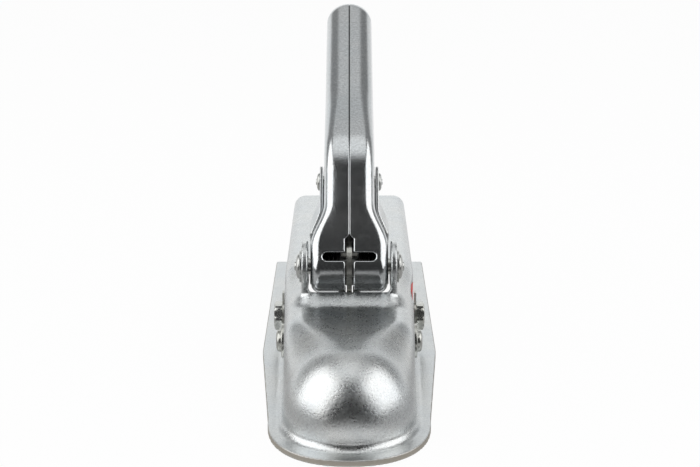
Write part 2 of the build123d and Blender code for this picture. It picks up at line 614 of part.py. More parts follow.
def catch_bell(inset, drop):
    """Front outline of the catch, wide at its foot and narrow at its pin, its flare moved down by a drop."""
    foot = CATCH_FOOT_HALF - inset
    top = CATCH_TOP_HALF - inset
    top_s = CATCH_PIN_S + 2 * CATCH_PIN_R + 0.5
    high = CATCH_PIN_S - CATCH_HEAD_R - 0.6 - drop
    low = high - CATCH_FLARE
    right = Spline((foot, low), (top, high), tangents=((0, 1), (0, 1)))
    left = Spline((-foot, low), (-top, high), tangents=((0, 1), (0, 1)))
    lower = Polyline((-foot, low), (-foot, CATCH_FOOT_S), (foot, CATCH_FOOT_S), (foot, low))
    upper = Polyline((top, high), (top, top_s), (-top, top_s), (-top, high))
    return make_face([right, left, lower, upper])


def catch_block(inset, back_n, front_n):
    """Catch as one block: straight at the back, its sides drawn in towards the lever at the front."""
    front = lever_front_plane()
    reach = (CATCH_SPLAY_N - front_n) / (CATCH_SPLAY_N - CATCH_FRONT_N)
    block = extrude(front.offset(-back_n) * catch_bell(inset, 0), amount=back_n - CATCH_SPLAY_N)
    wide = front.offset(-CATCH_SPLAY_N) * catch_bell(inset, 0)
    close = front.offset(-front_n) * catch_bell(inset, CATCH_SPLAY_S * reach)
    return block + loft([wide, close], ruled=True)


def make_safety_catch():
    """U-shaped sheet that straddles the lever from behind and hangs on the catch pin."""
    catch = catch_block(0, CATCH_DEPTH, CATCH_FRONT_N)
    catch -= catch_block(CATCH_SHEET, CATCH_DEPTH - CATCH_SHEET, CATCH_FRONT_N - 1)
    room_n = LEVER_BARREL_R + SLIDE_GAP
    room = lever_frame() * Pos(CATCH_SIDE_S - BELOW / 2, BELOW / 2 - room_n) * Rectangle(BELOW, BELOW)
    catch -= side_prism(room, -BELOW, BELOW)
    pin_y, pin_z = lever_point(CATCH_PIN_S, CATCH_PIN_N)
    return catch - cross_pin(pin_y, pin_z, CATCH_PIN_R + PIN_GAP, -BELOW, BELOW)


def make_catch_pin():
    """Cross rivet that carries the safety catch on the lever."""
    y, z = lever_point(CATCH_PIN_S, CATCH_PIN_N)
    seat = CATCH_TOP_HALF + 0.15
    pin = cross_pin(y, z, CATCH_PIN_R, -seat, seat)
    head = cross_pin(y, z, CATCH_HEAD_R, seat, seat + CATCH_HEAD_T)
    head = chamfer(head.edges().group_by(Axis.X)[-1], CATCH_HEAD_T * 0.5)
    return pin + both_sides(head)


def make_catch_spring():
    """Small coil on the catch pin inside the lever."""
    y, z = lever_point(CATCH_PIN_S, CATCH_PIN_N)
    return coil(CATCH_COIL_R, CATCH_WIRE, CATCH_COIL_TURNS, CAM_PLATE_T / 2 + 1.5, y, z)


def write(name, shape):
    """Write one node's solids."""
    export_step(shape, os.path.join("parts", name + ".step"))


os.makedirs("parts", exist_ok=True)
write("body_shell", make_body_shell())
write("lever", make_lever())
write("lever_pin", make_lever_pin())
write("lever_washers", make_lever_washers())
write("spring_bushes", make_spring_bushes())
write("lever_spring", make_lever_spring())
write("cam_plate", make_cam_plate())
write("drive_pin", make_drive_pin())
write("jaw_pin", make_jaw_pin())
write("jaw_sleeves", make_sleeves(JAW_PIN_Y, JAW_PIN_Z, JAW_PIN_R, half_width(0) - BODY_SHEET + 1.2))
write("fork_plates", make_fork_plates())
write("clamp_jaw", make_clamp_jaw())
write("jaw_rivets", make_jaw_rivets())
write("guide_bolt", make_guide_bolt())
write("guide_nut", make_guide_nut())
write("guide_sleeves", make_sleeves(GUIDE_Y, GUIDE_Z, GUIDE_BOLT_R, half_width(GUIDE_Y) - BODY_SHEET - 0.4))
write("pointer_plates", make_pointer_plates())
write("indicator_label", make_indicator_label())
write("safety_catch", make_safety_catch())
write("catch_pin", make_catch_pin())
write("catch_spring", make_catch_spring())
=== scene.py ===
"""Trailer coupling head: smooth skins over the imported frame, plated finishes, springs and studio."""

from __future__ import annotations

import json
import logging
import math
from dataclasses import dataclass, field
from enum import Enum
from typing import Callable

import bpy
import numpy as np
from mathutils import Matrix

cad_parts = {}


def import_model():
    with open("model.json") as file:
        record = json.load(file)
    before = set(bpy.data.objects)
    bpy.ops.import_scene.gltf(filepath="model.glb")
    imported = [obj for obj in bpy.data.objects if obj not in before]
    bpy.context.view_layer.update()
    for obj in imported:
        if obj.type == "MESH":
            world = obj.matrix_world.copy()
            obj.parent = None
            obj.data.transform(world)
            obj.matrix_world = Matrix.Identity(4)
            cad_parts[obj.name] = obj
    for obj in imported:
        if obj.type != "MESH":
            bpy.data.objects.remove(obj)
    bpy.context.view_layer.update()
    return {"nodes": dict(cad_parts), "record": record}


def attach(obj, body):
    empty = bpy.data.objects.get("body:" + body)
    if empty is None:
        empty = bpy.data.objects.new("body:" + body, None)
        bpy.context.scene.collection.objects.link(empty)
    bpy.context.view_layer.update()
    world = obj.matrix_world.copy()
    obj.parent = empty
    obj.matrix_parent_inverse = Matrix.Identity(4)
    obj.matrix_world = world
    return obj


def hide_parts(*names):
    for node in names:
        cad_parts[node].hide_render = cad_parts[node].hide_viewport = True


LOG = logging.getLogger("coupling_head")
WHITE = (1.0, 1.0, 1.0, 1.0)
# Metres in a millimetre, and limits that keep the fields sound
MM = 0.001
TINY = 1e-6
FAR = 1e6
LEAST_RATIO = 0.05
ROUND_END = 0.01
# Edges of the pins, metres within which their halves join, and the springs' wire
SHARP_PINS = math.radians(32)
JOIN = 1e-5
COIL_PITCH = 1.06
HELIX_STEPS = 40
WIRE_SIDES = 12
# Cross axes as y and z in millimetres
LEVER_PIVOT = (67.5, 45.5)
GUIDE_BOLT = (97.0, 8.8)
Array = np.ndarray
Value = np.ndarray | float
Pair = tuple[float, float]
Triple = tuple[float, float, float]
Object = bpy.types.Object
Material = bpy.types.Material
Tree = bpy.types.NodeTree
Socket = bpy.types.NodeSocket


class Body(Enum):
    """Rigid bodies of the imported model."""

    HEAD = "body"
    LEVER = "lever"
    JAW = "jaw"
    CATCH = "catch"


class Slot(Enum):
    """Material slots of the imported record."""

    PRESSING = "zinc_pressing"
    LEVER = "zinc_lever"
    CATCH = "zinc_catch"
    FASTENERS = "zinc_fasteners"
    PLATES = "zinc_plates"
    PLAIN = "plain_steel"
    FORGED = "forged_steel"
    SPRING = "spring_steel"
    LABEL = "label_film"


# Distance helpers: negative inside, positive outside, in millimetres


def round_union(a: Array, b: Array, radius: Value) -> Array:
    """Join two forms with a hollow fillet of the given radius."""
    reach = np.hypot(np.maximum(radius - a, 0), np.maximum(radius - b, 0))
    return np.maximum(radius, np.minimum(a, b)) - reach


def round_meet(a: Array, b: Array, radius: Value) -> Array:
    """Keep what two forms share, with the edge between them rounded."""
    reach = np.hypot(np.maximum(radius + a, 0), np.maximum(radius + b, 0))
    return np.minimum(-radius, np.maximum(a, b)) + reach


def round_cut(a: Array, b: Array, radius: Value) -> Array:
    """Take the second form out of the first, with the rim rounded."""
    return round_meet(a, -b, radius)


def soft_max(a: Array, b: Value, width: float) -> Array:
    """Greater of two values, with the change from one to the other eased over a width."""
    return (a + b + np.sqrt((a - b) ** 2 + width ** 2)) / 2


def ease(value: Array, low: float, high: float) -> Array:
    """Smooth step from 0 at low to 1 at high."""
    share = np.clip((value - low) / (high - low), 0, 1)
    return share * share * (3 - 2 * share)


def round_corner(a: Array, b: Array, radius: Value) -> Array:
    """Distance to a round corner, from the distances beyond its centre along two directions."""
    return np.hypot(np.maximum(a, 0), np.maximum(b, 0)) + np.minimum(np.maximum(a, b), 0) - radius


def round_box(u: Array, v: Array, half_u: Value, half_v: Value, radius: Value) -> Array:
    """Distance to a rounded rectangle about the origin, of two half sizes and a corner radius."""
    return round_corner(np.abs(u) - (half_u - radius), np.abs(v) - (half_v - radius), radius)


def unit(rows: Array) -> Array:
    """Rows scaled to length one."""
    return rows / np.maximum(np.linalg.norm(rows, axis=1, keepdims=True), TINY)


def stations(*spans: Triple) -> Array:
    """Grid lines over spans of (start, end, pitch), each span starting where the one before it ends."""
    parts = [np.arange(start, end, pitch) for start, end, pitch in spans]
    return np.concatenate(parts + [np.array([spans[-1][1]])])


@dataclass
class Skin:
    """Closed smooth skin drawn where a distance field is zero on a grid of stations."""

    distance: Callable[[Array, Array, Array], Array]
    axes: tuple[Array, Array, Array]
    refine_steps: int = 3
    longest_move: float = 0.5
    least_slope: float = 0.05

    def net(self) -> tuple[Array, Array]:
        """Find one point per mixed grid cell and the quads between them.

        Returns:
            Points in field coordinates, and quads as point numbers.
        """
        grid = np.meshgrid(*self.axes, indexing="ij")
        values = self.distance(*grid)
        inside = values < 0
        shape = tuple(size - 1 for size in inside.shape)
        count = np.zeros(shape, dtype=np.int8)
        corners = list(np.ndindex(2, 2, 2))
        for corner in corners:
            window = tuple(slice(c, c + size) for c, size in zip(corner, shape))
            count += inside[window]
        active = (count > 0) & (count < len(corners))
        number = np.full(shape, -1, dtype=np.int64)
        number[active] = np.arange(int(active.sum()))
        cells = np.argwhere(active)
        total = np.zeros((len(cells), 3))
        hits = np.zeros(len(cells))
        for axis in range(3):
            others = [k for k in range(3) if k != axis]
            for shift in np.ndindex(2, 2):
                start = cells.copy()
                start[:, others] += shift
                end = start.copy()
                end[:, axis] += 1
                low = values[tuple(start.T)]
                high = values[tuple(end.T)]
                crossed = (low < 0) != (high < 0)
                share = np.where(crossed, low / np.where(crossed, low - high, 1), 0)
                place = np.stack([self.axes[k][start[:, k]] for k in range(3)], axis=1)
                far = self.axes[axis][end[:, axis]]
                place[:, axis] += share * (far - place[:, axis])
                total[crossed] += place[crossed]
                hits[crossed] += 1
        points = total / hits[:, None]
        quads = [self._faces(inside, number, axis) for axis in range(3)]
        return points, np.concatenate(quads)

    @staticmethod
    def _faces(inside: Array, number: Array, axis: int) -> Array:
        """Quads across every grid edge along one axis that the skin crosses.

        Args:
            inside: Whether each grid place is inside.
            number: Point number of each cell.
            axis: The axis that the edges run along.

        Returns:
            Quads as point numbers.
        """
        order = axis, (axis + 1) % 3, (axis + 2) % 3
        nodes, cells = np.transpose(inside, order)[:, 1:-1, 1:-1], np.transpose(number, order)
        around = [cells[:, 1:, 1:], cells[:, :-1, 1:], cells[:, :-1, :-1], cells[:, 1:, :-1]]
        quads = np.stack(around, axis=-1)
        leaves, enters = nodes[:-1] & ~nodes[1:], ~nodes[:-1] & nodes[1:]
        return np.concatenate([quads[leaves], quads[enters][:, ::-1]])

    def slope(self, points: Array, step: float = 0.05) -> Array:
        """Gradient of the field at points.

        Args:
            points: Rows of places.
            step: Half of the length that it is measured over.

        Returns:
            One row per point.
        """
        result = np.zeros_like(points)
        for axis in range(3):
            shift = np.zeros(3)
            shift[axis] = step
            ahead = self.distance(*(points + shift).T)
            behind = self.distance(*(points - shift).T)
            result[:, axis] = (ahead - behind) / (2 * step)
        return result

    def build(self) -> tuple[Array, Array, Array]:
        """Draw the skin and pull its points onto the field's zero, but for quads that would fold over.

        Returns:
            Points, outward normals and quads.
        """
        start, quads = self.net()
        points = start
        for _ in range(self.refine_steps):
            slope = self.slope(points)
            steepness = np.maximum((slope ** 2).sum(axis=1), self.least_slope)
            move = slope * (self.distance(*points.T) / steepness)[:, None]
            size = np.linalg.norm(move, axis=1, keepdims=True)
            points = points - move * np.minimum(1, self.longest_move / np.maximum(size, TINY))
        corners = points[quads]
        facing = np.cross(corners[:, 2] - corners[:, 0], corners[:, 3] - corners[:, 1])
        folded = quads[(facing * self.slope(corners.mean(axis=1))).sum(axis=1) < 0]
        points[folded] = start[folded]
        return points, unit(self.slope(points)), quads


def mesh_object(name: str, points: Array, faces: list, normals: Array | None = None) -> Object:
    """Make a smooth mesh object from points in millimetres.

    Args:
        name: Object name.
        points: Points, one row each.
        faces: Faces as lists of point numbers.
        normals: Outward normal of each point, or None for plain smooth shading.

    Returns:
        The new object at the origin.
    """
    mesh = bpy.data.meshes.new(name)
    mesh.from_pydata((np.asarray(points) * MM).tolist(), [], [list(map(int, f)) for f in faces])
    mesh.polygons.foreach_set("use_smooth", [True] * len(mesh.polygons))
    mesh.update()
    if normals is not None:
        mesh.normals_split_custom_set_from_vertices(normals.tolist())
    obj = bpy.data.objects.new(name, mesh)
    bpy.context.scene.collection.objects.link(obj)
    return obj


def place_piece(obj: Object, body: Body, slot: Slot, finishes: Finishes, *nodes: str) -> None:
    """Dress a piece, ride it on its body and let it stand for CAD nodes.

    Args:
        obj: The piece, at the origin.
        body: Body that carries it.
        slot: Its material slot.
        finishes: Materials by slot.
        nodes: CAD nodes that it stands for.
    """
    obj.data.materials.clear()
    obj.data.materials.append(finishes[slot])
    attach(obj, body.value)
    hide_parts(*nodes)
    LOG.info("%s: %d faces on %s", obj.name, len(obj.data.polygons), body.value)


# Nodes and finishes


class NodeSheet:
    """Small helper that adds and links the nodes of one tree."""

    def __init__(self, tree: Tree) -> None:
        """Keep the tree."""
        self.tree = tree

    def feed(self, node: bpy.types.Node, inputs: dict) -> None:
        """Set a node's inputs, by name or number, to values or output sockets.

        Args:
            node: The node.
            inputs: Socket name or number to a value or an output socket.
        """
        for key, value in inputs.items():
            if isinstance(value, Socket):
                self.tree.links.new(value, node.inputs[key])
            else:
                node.inputs[key].default_value = value

    def add(self, kind: str, inputs: dict | None = None, **settings: object) -> bpy.types.Node:
        """Add one node.

        Args:
            kind: Node type name.
            inputs: Socket name or number to a value or an output socket.
            settings: Node properties.

        Returns:
            The new node.
        """
        node = self.tree.nodes.new(kind)
        for key, value in settings.items():
            setattr(node, key, value)
        self.feed(node, inputs or {})
        return node

    def math(self, operation: str, *values: object) -> Socket:
        """Math node over up to three values or sockets."""
        return self.add("ShaderNodeMath", dict(enumerate(values)), operation=operation).outputs[0]

    def span(self, value: Socket, source: Pair, target: Pair = (0.0, 1.0), kind: str = "LINEAR") -> Socket:
        """Map of a value from one span to another, held at the ends.

        Args:
            value: What is mapped.
            source: Span that it comes from.
            target: Span that it goes to.
            kind: Way between the ends.

        Returns:
            The mapped value.
        """
        return self.add("ShaderNodeMapRange", {
            "Value": value, "From Min": source[0], "From Max": source[1], "To Min": target[0],
            "To Max": target[1]}, interpolation_type=kind).outputs[0]

    def step(self, value: Socket, low: float, high: float, gain: float = 1.0) -> Socket:
        """Smooth step from 0 at low to the gain at high."""
        return self.span(value, (low, high), (0.0, gain), "SMOOTHSTEP")

    def mix(self, share: object, first: object, second: object, blend: str = "MIX") -> Socket:
        """Colour between two others."""
        return self.add("ShaderNodeMix", {"Factor": share, 6: first, 7: second}, data_type="RGBA",
                        blend_type=blend).outputs[2]

    def noise(self, place: Socket, scale: float, detail: float, roughness: float) -> Socket:
        """Noise value at a place."""
        return self.add("ShaderNodeTexNoise", {"Vector": place, "Scale": scale, "Detail": detail,
                                               "Roughness": roughness}).outputs["Fac"]

    def coordinates(self, kind: str = "Object") -> Socket:
        """Texture coordinates of a kind."""
        return self.add("ShaderNodeTexCoord").outputs[kind]

    def split(self, place: Socket) -> object:
        """Outputs X, Y and Z of a vector."""
        return self.add("ShaderNodeSeparateXYZ", {0: place}).outputs


def new_tree(name: str, kind: str, inputs: dict, outputs: dict) -> tuple[NodeSheet, object, object]:
    """Start a node group.

    Args:
        name: Group name.
        kind: Shader or Geometry.
        inputs: Name and socket kind of each input.
        outputs: Name and socket kind of each output.

    Returns:
        Its sheet, its input node and its output node.
    """
    tree = bpy.data.node_groups.new(name, f"{kind}NodeTree")
    for way, sockets in (("INPUT", inputs), ("OUTPUT", outputs)):
        for label, socket in sockets.items():
            tree.interface.new_socket(label, in_out=way, socket_type=f"NodeSocket{socket}")
    sheet = NodeSheet(tree)
    return sheet, sheet.add("NodeGroupInput"), sheet.add("NodeGroupOutput")


def new_material(name: str) -> tuple[Material, NodeSheet, bpy.types.Node]:
    """Start a material.

    Args:
        name: Material name.

    Returns:
        The material, its sheet and its shader node.
    """
    material = bpy.data.materials.new(name)
    material.use_nodes = True
    return material, NodeSheet(material.node_tree), material.node_tree.nodes["Principled BSDF"]


@dataclass(frozen=True)
class Mottle:
    """Zinc plating's noises as scale, detail and roughness, and how far each goes."""

    cloud: Triple = (38.0, 4.0, 0.6)
    blotch: Triple = (260.0, 5.0, 0.65)
    grain: Triple = (1050.0, 3.0, 0.65)
    cloud_span: Pair = (0.35, 0.7)
    speck_span: Pair = (0.3, 0.72)
    speck_tones: Pair = (0.80, 1.08)
    blotch_share: float = 0.6
    swell: float = 0.35

    def group(self) -> Tree:
        """Build the node group: cloudy tint, mottled gloss and fine grain, in object space.

        Returns:
            The new group.
        """
        sheet, source, sink = new_tree(
            "plating", "Shader",
            {"Colour": "Color", "Tint": "Color", "Gloss": "Float", "Spread": "Float", "Grain": "Float"},
            {"Colour": "Color", "Roughness": "Float", "Height": "Float"})
        given = source.outputs
        place = sheet.coordinates()
        cloud, blotch, grain = (sheet.noise(place, *size) for size in (self.cloud, self.blotch, self.grain))
        tinted = sheet.mix(sheet.span(cloud, self.cloud_span), given["Colour"], given["Tint"])
        speck = sheet.span(grain, self.speck_span, self.speck_tones)
        fine = sheet.math("MULTIPLY", grain, 1 - self.blotch_share)
        centred = sheet.math("SUBTRACT", sheet.math("MULTIPLY_ADD", blotch, self.blotch_share, fine), 0.5)
        height = sheet.math("MULTIPLY", grain, given["Grain"])
        sheet.feed(sink, {
            "Colour": sheet.mix(1.0, tinted, speck, "MULTIPLY"),
            "Roughness": sheet.math("MULTIPLY_ADD", centred, given["Spread"], given["Gloss"]),
            "Height": sheet.math("MULTIPLY_ADD", blotch, self.swell, height),
        })
        return sheet.tree


@dataclass(frozen=True)
class Plating:
    """One plated or bare steel finish, with its sheared edges and the matt foot of the pressing."""

    colour: Triple
    tint: Triple
    gloss: float
    spread: float
    grain: float
    bump: float
    cut_colour: Triple | None = None
    matt_below: float | None = None
    matt_fade: float = 1.5
    matt_gain: float = 0.05
    cut_gain: float = 0.25
    bump_depth: float = 0.3

    def material(self, name: str, group: Tree) -> Material:
        """Build the material.

        Args:
            name: Material name.
            group: The shared plating node group.

        Returns:
            The new material.
        """
        material, sheet, shader = new_material(name)
        plate = sheet.add("ShaderNodeGroup", node_tree=group)
        sheet.feed(plate, {"Colour": (*self.colour, 1), "Tint": (*self.tint, 1), "Gloss": self.gloss,
                           "Spread": self.spread, "Grain": self.grain})
        colour, rough = plate.outputs["Colour"], plate.outputs["Roughness"]
        if self.matt_below is not None:
            fade = (self.matt_below * MM, (self.matt_below - self.matt_fade) * MM)
            height = sheet.split(sheet.coordinates())["Z"]
            rough = sheet.math("ADD", rough, sheet.span(height, fade, (0.0, self.matt_gain)))
        if self.cut_colour is not None:
            edge = sheet.add("ShaderNodeAttribute", attribute_name="cut").outputs["Fac"]
            colour = sheet.mix(edge, colour, (*self.cut_colour, 1))
            rough = sheet.math("MULTIPLY_ADD", edge, self.cut_gain, rough)
        bump = sheet.add("ShaderNodeBump", {"Height": plate.outputs["Height"], "Strength": self.bump,
                                            "Distance": self.bump_depth * MM})
        sheet.feed(shader, {"Metallic": 1.0, "Base Color": colour, "Roughness": rough,
                            "Normal": bump.outputs[0]})
        return material


@dataclass(frozen=True)
class Film:
    """Printed indicator film: a red field over a green one."""

    name: str = "indicator_film"
    red: Triple = (0.75, 0.035, 0.03)
    green: Triple = (0.05, 0.32, 0.08)
    border_z: float = 15.0
    grain: Triple = (900.0, 2.0, 0.5)
    gloss: Pair = (0.35, 0.55)

    def material(self) -> Material:
        """Build the material.

        Returns:
            The new material.
        """
        material, sheet, shader = new_material(self.name)
        place = sheet.coordinates()
        upper = sheet.math("GREATER_THAN", sheet.split(place)["Z"], self.border_z * MM)
        sheet.feed(shader, {
            "Base Color": sheet.mix(upper, (*self.green, 1), (*self.red, 1)),
            "Roughness": sheet.span(sheet.noise(place, *self.grain), (0.0, 1.0), self.gloss),
        })
        return material


class Finishes:
    """All materials of the head, one per slot."""

    def __init__(self) -> None:
        """Build the shared group and each finish."""
        group = Mottle().group()
        warm = (0.60, 0.60, 0.55)
        cool = (0.69, 0.72, 0.735)
        plated = {
            Slot.PRESSING: Plating((0.76, 0.77, 0.76), cool, gloss=0.29, spread=0.34, grain=1.0, bump=0.38,
                                   cut_colour=(0.46, 0.43, 0.38), matt_below=-5.6),
            Slot.LEVER: Plating((0.74, 0.75, 0.755), cool, gloss=0.195, spread=0.26, grain=0.8, bump=0.14),
            Slot.CATCH: Plating((0.76, 0.77, 0.76), cool, gloss=0.34, spread=0.2, grain=1.0, bump=0.1),
            Slot.FASTENERS: Plating((0.66, 0.67, 0.67), warm, gloss=0.24, spread=0.2, grain=1.0, bump=0.1),
            Slot.PLATES: Plating((0.64, 0.64, 0.61), warm, gloss=0.30, spread=0.25, grain=1.0, bump=0.12),
            Slot.PLAIN: Plating((0.52, 0.52, 0.52), (0.44, 0.44, 0.43),
                                gloss=0.35, spread=0.2, grain=1.0, bump=0.1),
            Slot.FORGED: Plating((0.36, 0.36, 0.37), (0.26, 0.26, 0.27),
                                 gloss=0.48, spread=0.3, grain=1.6, bump=0.3),
            Slot.SPRING: Plating((0.06, 0.06, 0.065), (0.10, 0.09, 0.08),
                                 gloss=0.36, spread=0.2, grain=1.0, bump=0.1),
        }
        self.by_slot = {slot: finish.material(slot.value, group) for slot, finish in plated.items()}
        self.by_slot[Slot.LABEL] = Film().material()

    def __getitem__(self, slot: Slot) -> Material:
        """Material of a slot."""
        return self.by_slot[slot]


# Pieces of the head


@dataclass
class BodyShell:
    """The one-piece pressing: dome, neck, stepped roof, channel, flange and ears."""

    sheet: float = 3.0
    # Dome, and how much tighter its rounding is than its radius
    dome_r: float = 29.7
    dome_flat: float = 0.4
    # Channel's half width and height, and where the walls reach that width
    channel_half: float = 33.0
    channel_top: float = 35.4
    taper_end: float = 100.0
    # Where the neck's edges start to tighten and end, with the easing of both
    neck: Pair = (4.0, 34.5)
    neck_soft: Pair = (0.30, 0.1)
    # Ramp's foot and head, edge rounding at neck, head and channel, easing at foot and head
    step: Pair = (50.6, 57.8)
    shoulders: Triple = (9.5, 10.5, 7.0)
    folds: Pair = (1.6, 0.7)
    # Raised flat's half width and corner, and where the shoulders beside it rise
    pad: Pair = (22.3, 6.5)
    shoulder_rise: Pair = (54.0, 112.0)
    # Dent: depth, start before label's middle, gap to its front, end behind its middle, fades below and above
    dent: float = 1.7
    dent_run: Triple = (30.0, 1.0, 9.0)
    dent_fade: Pair = (3.0, 5.0)
    # Back end, and the flange: its nose has a start, half width, reach and power
    end_y: float = 232.0
    flange_top: float = -6.6
    nose: tuple[float, float, float, float] = (2.0, 37.0, 40.7, 2.25)
    flange_half: float = 44.3
    knee_y: float = 86.0
    knee_soft: float = 0.2
    base_fillet: float = 3.8
    # Lever's opening as front, back and corner, and the ears beside it
    opening: Triple = (58.6, 106.0, 3.0)
    ear_inner: float = 20.05
    ear_r: float = 12.3
    ear_foot_y: float = 90.0
    ear_lead: float = 0.6
    ear_root: float = 3.0
    ear_fillet: float = 2.2
    # Lever's pivot, and the guide bolt's slot
    pivot: Pair = LEVER_PIVOT
    guide: Pair = GUIDE_BOLT
    guide_r: float = 4.3
    travel: float = 16.5
    slide_angle: float = 25.0
    # Label's middle, length and height, and the film's points along a side, faces off the wall and border
    label: tuple[float, float, float, float] = (97.0, 20.4, 9.0, 11.0)
    film_grid: int = 15
    film_lift: Pair = (0.22, -0.08)
    film_border: float = 1.0
    film_sharp: float = 40.0
    # Drawbar bolts: front, rear and height
    bolts: Triple = (150.0, 204.0, 4.0)
    bolt_r: float = 6.25
    # Rounding of rims, and more of it inside the foot, up to a height and a place
    edge: float = 0.5
    end_edge: float = 0.6
    mouth_edge: float = 0.45
    guide_edge: float = 0.4
    foot_round: float = 4.0
    foot_z: Pair = (-9.0, -4.0)
    foot_y: Pair = (215.0, 228.0)
    # Sheared look: distance to outline, lean of the surface, distance to the opening, limits
    cut_outline: Pair = (-0.9, -0.2)
    cut_lean: Pair = (0.1, 0.5)
    cut_rim: Pair = (0.5, 0.15)
    cut_reach: Pair = (0.2, 2.0)
    cut_rim_share: float = 0.6
    # Search for the wall under the film
    wall_search: Pair = (20.0, 40.0)
    halvings: int = 24

    def roof(self, x: Array, y: Array) -> Array:
        """Height of the outside: level neck, ramp up to the opening, slow rise at the shoulders.

        Args:
            x: Places across.
            y: Places along the drawbar.

        Returns:
            Heights.
        """
        half, radius = self.pad
        rise = self.channel_top - self.dome_r
        out = round_corner(np.abs(x) - (half - radius), self.step[1] + radius - y, radius)
        fall = soft_max(out * rise / (self.step[1] - self.step[0]), 0, self.folds[1])
        fall = -soft_max(-fall, -rise, self.folds[0])
        return self.channel_top - fall * (1 - ease(y, *self.shoulder_rise))

    def dent_depth(self, y: Array, z: Array) -> Array:
        """How far the right-hand wall is pressed in about the indicator label.

        Args:
            y: Places along the drawbar.
            z: Heights.

        Returns:
            Depths.
        """
        place_y, place_z, length, height = self.label
        lead, gap, tail = self.dent_run
        front, low, high = place_y - length / 2, place_z - height / 2, place_z + height / 2
        along = ease(y, place_y - lead, front - gap) * (1 - ease(y, front, place_y + tail))
        up = ease(z, low - self.dent_fade[0], low) * (1 - ease(z, high, high + self.dent_fade[1]))
        return self.dent * along * up

    def half_width(self, y: Array) -> Array:
        """Half width of the walls, without the dent."""
        return self.dome_r + (self.channel_half - self.dome_r) * np.clip(y / self.taper_end, 0, 1)

    def core(self, x: Array, y: Array, z: Array, inset: float) -> Array:
        """Distance to dome, neck and channel as one block, set in by inset.

        Args:
            x: Places across.
            y: Places along the drawbar.
            z: Heights.
            inset: How far its surface is set in.

        Returns:
            Distance, negative inside.
        """
        back = np.maximum(y, 0)
        side = np.hypot(x, np.minimum(y, 0))
        width = self.half_width(back) - inset
        if inset == 0:
            width = width - self.dent_depth(y, z) * (x > 0)
        start, full = self.neck
        share = soft_max((y - start) / (full - start), 0, self.neck_soft[0])
        share = -soft_max(-share, -1, self.neck_soft[1])
        radius = (self.dome_r - self.dome_flat) * (1 - share) + self.shoulders[0] * share
        for (near, far), (wide, close) in ((self.step, self.shoulders[:2]),
                                           ((self.step[1], self.taper_end), self.shoulders[1:])):
            radius = radius + (close - wide) * np.clip((back - near) / (far - near), 0, 1)
        radius = radius - inset
        return round_corner(side - (width - radius), z - (self.roof(x, back) - inset - radius), radius)

    def outline(self, x: Array, y: Array) -> Array:
        """Distance to the flange's plan: blunt round nose, widening sides, knees.

        Args:
            x: Places across.
            y: Places along the drawbar.

        Returns:
            Distance, negative inside.
        """
        start, half, reach, power = self.nose
        side, ahead = np.abs(x), np.minimum(y - start, 0)
        ratio = ((side / half) ** power + (-ahead / reach) ** power) ** (1 / power)
        nose = np.hypot(side, ahead) * (1 - 1 / np.maximum(ratio, LEAST_RATIO))
        spread = math.atan2(self.flange_half - half, self.knee_y - start)
        line = (side - half) * math.cos(spread) - (y - start) * math.sin(spread)
        return soft_max(np.where(y < start, nose, line), side - self.flange_half, self.knee_soft)

    def ears(self, x: Array, y: Array, z: Array) -> Array:
        """Distance to the two round lugs turned up beside the opening.

        Args:
            x: Places across.
            y: Places along the drawbar.
            z: Heights.

        Returns:
            Distance, negative inside.
        """
        disc = np.hypot(y - self.pivot[0], z - self.pivot[1]) - self.ear_r
        flanks = np.maximum(self._flank(y, z, self.opening[0], -1), self._flank(y, z, self.ear_foot_y, 1))
        flanks = np.maximum(flanks, z - self.pivot[1])
        flanks = np.maximum(flanks, self.opening[0] - self.ear_lead - y)
        profile = np.maximum(np.minimum(disc, flanks), self.dome_r - self.ear_root - z)
        thick = np.abs(np.abs(x) - self.ear_inner - self.sheet / 2) - self.sheet / 2
        return round_meet(profile, thick, self.end_edge)

    def _flank(self, y: Array, z: Array, foot_y: float, way: int) -> Array:
        """Distance beyond the straight flank from an ear's foot, tangent to its round top.

        Args:
            y: Places along the drawbar.
            z: Heights.
            foot_y: Where the flank starts on the roof.
            way: -1 for the front flank, 1 for the back one.

        Returns:
            Distance, negative inside.
        """
        dy, dz = foot_y - self.pivot[0], self.channel_top - self.pivot[1]
        turn = math.acos(self.ear_r / math.hypot(dy, dz))
        angle = math.atan2(dz, dy) + turn * way
        return math.cos(angle) * (y - self.pivot[0]) + math.sin(angle) * (z - self.pivot[1]) - self.ear_r

    def mouth(self, x: Array, y: Array) -> Array:
        """Distance to the plan of the opening that the lever's foot works through."""
        start, end, radius = self.opening
        return round_box(x, y - (start + end) / 2, self.ear_inner, (end - start) / 2, radius)

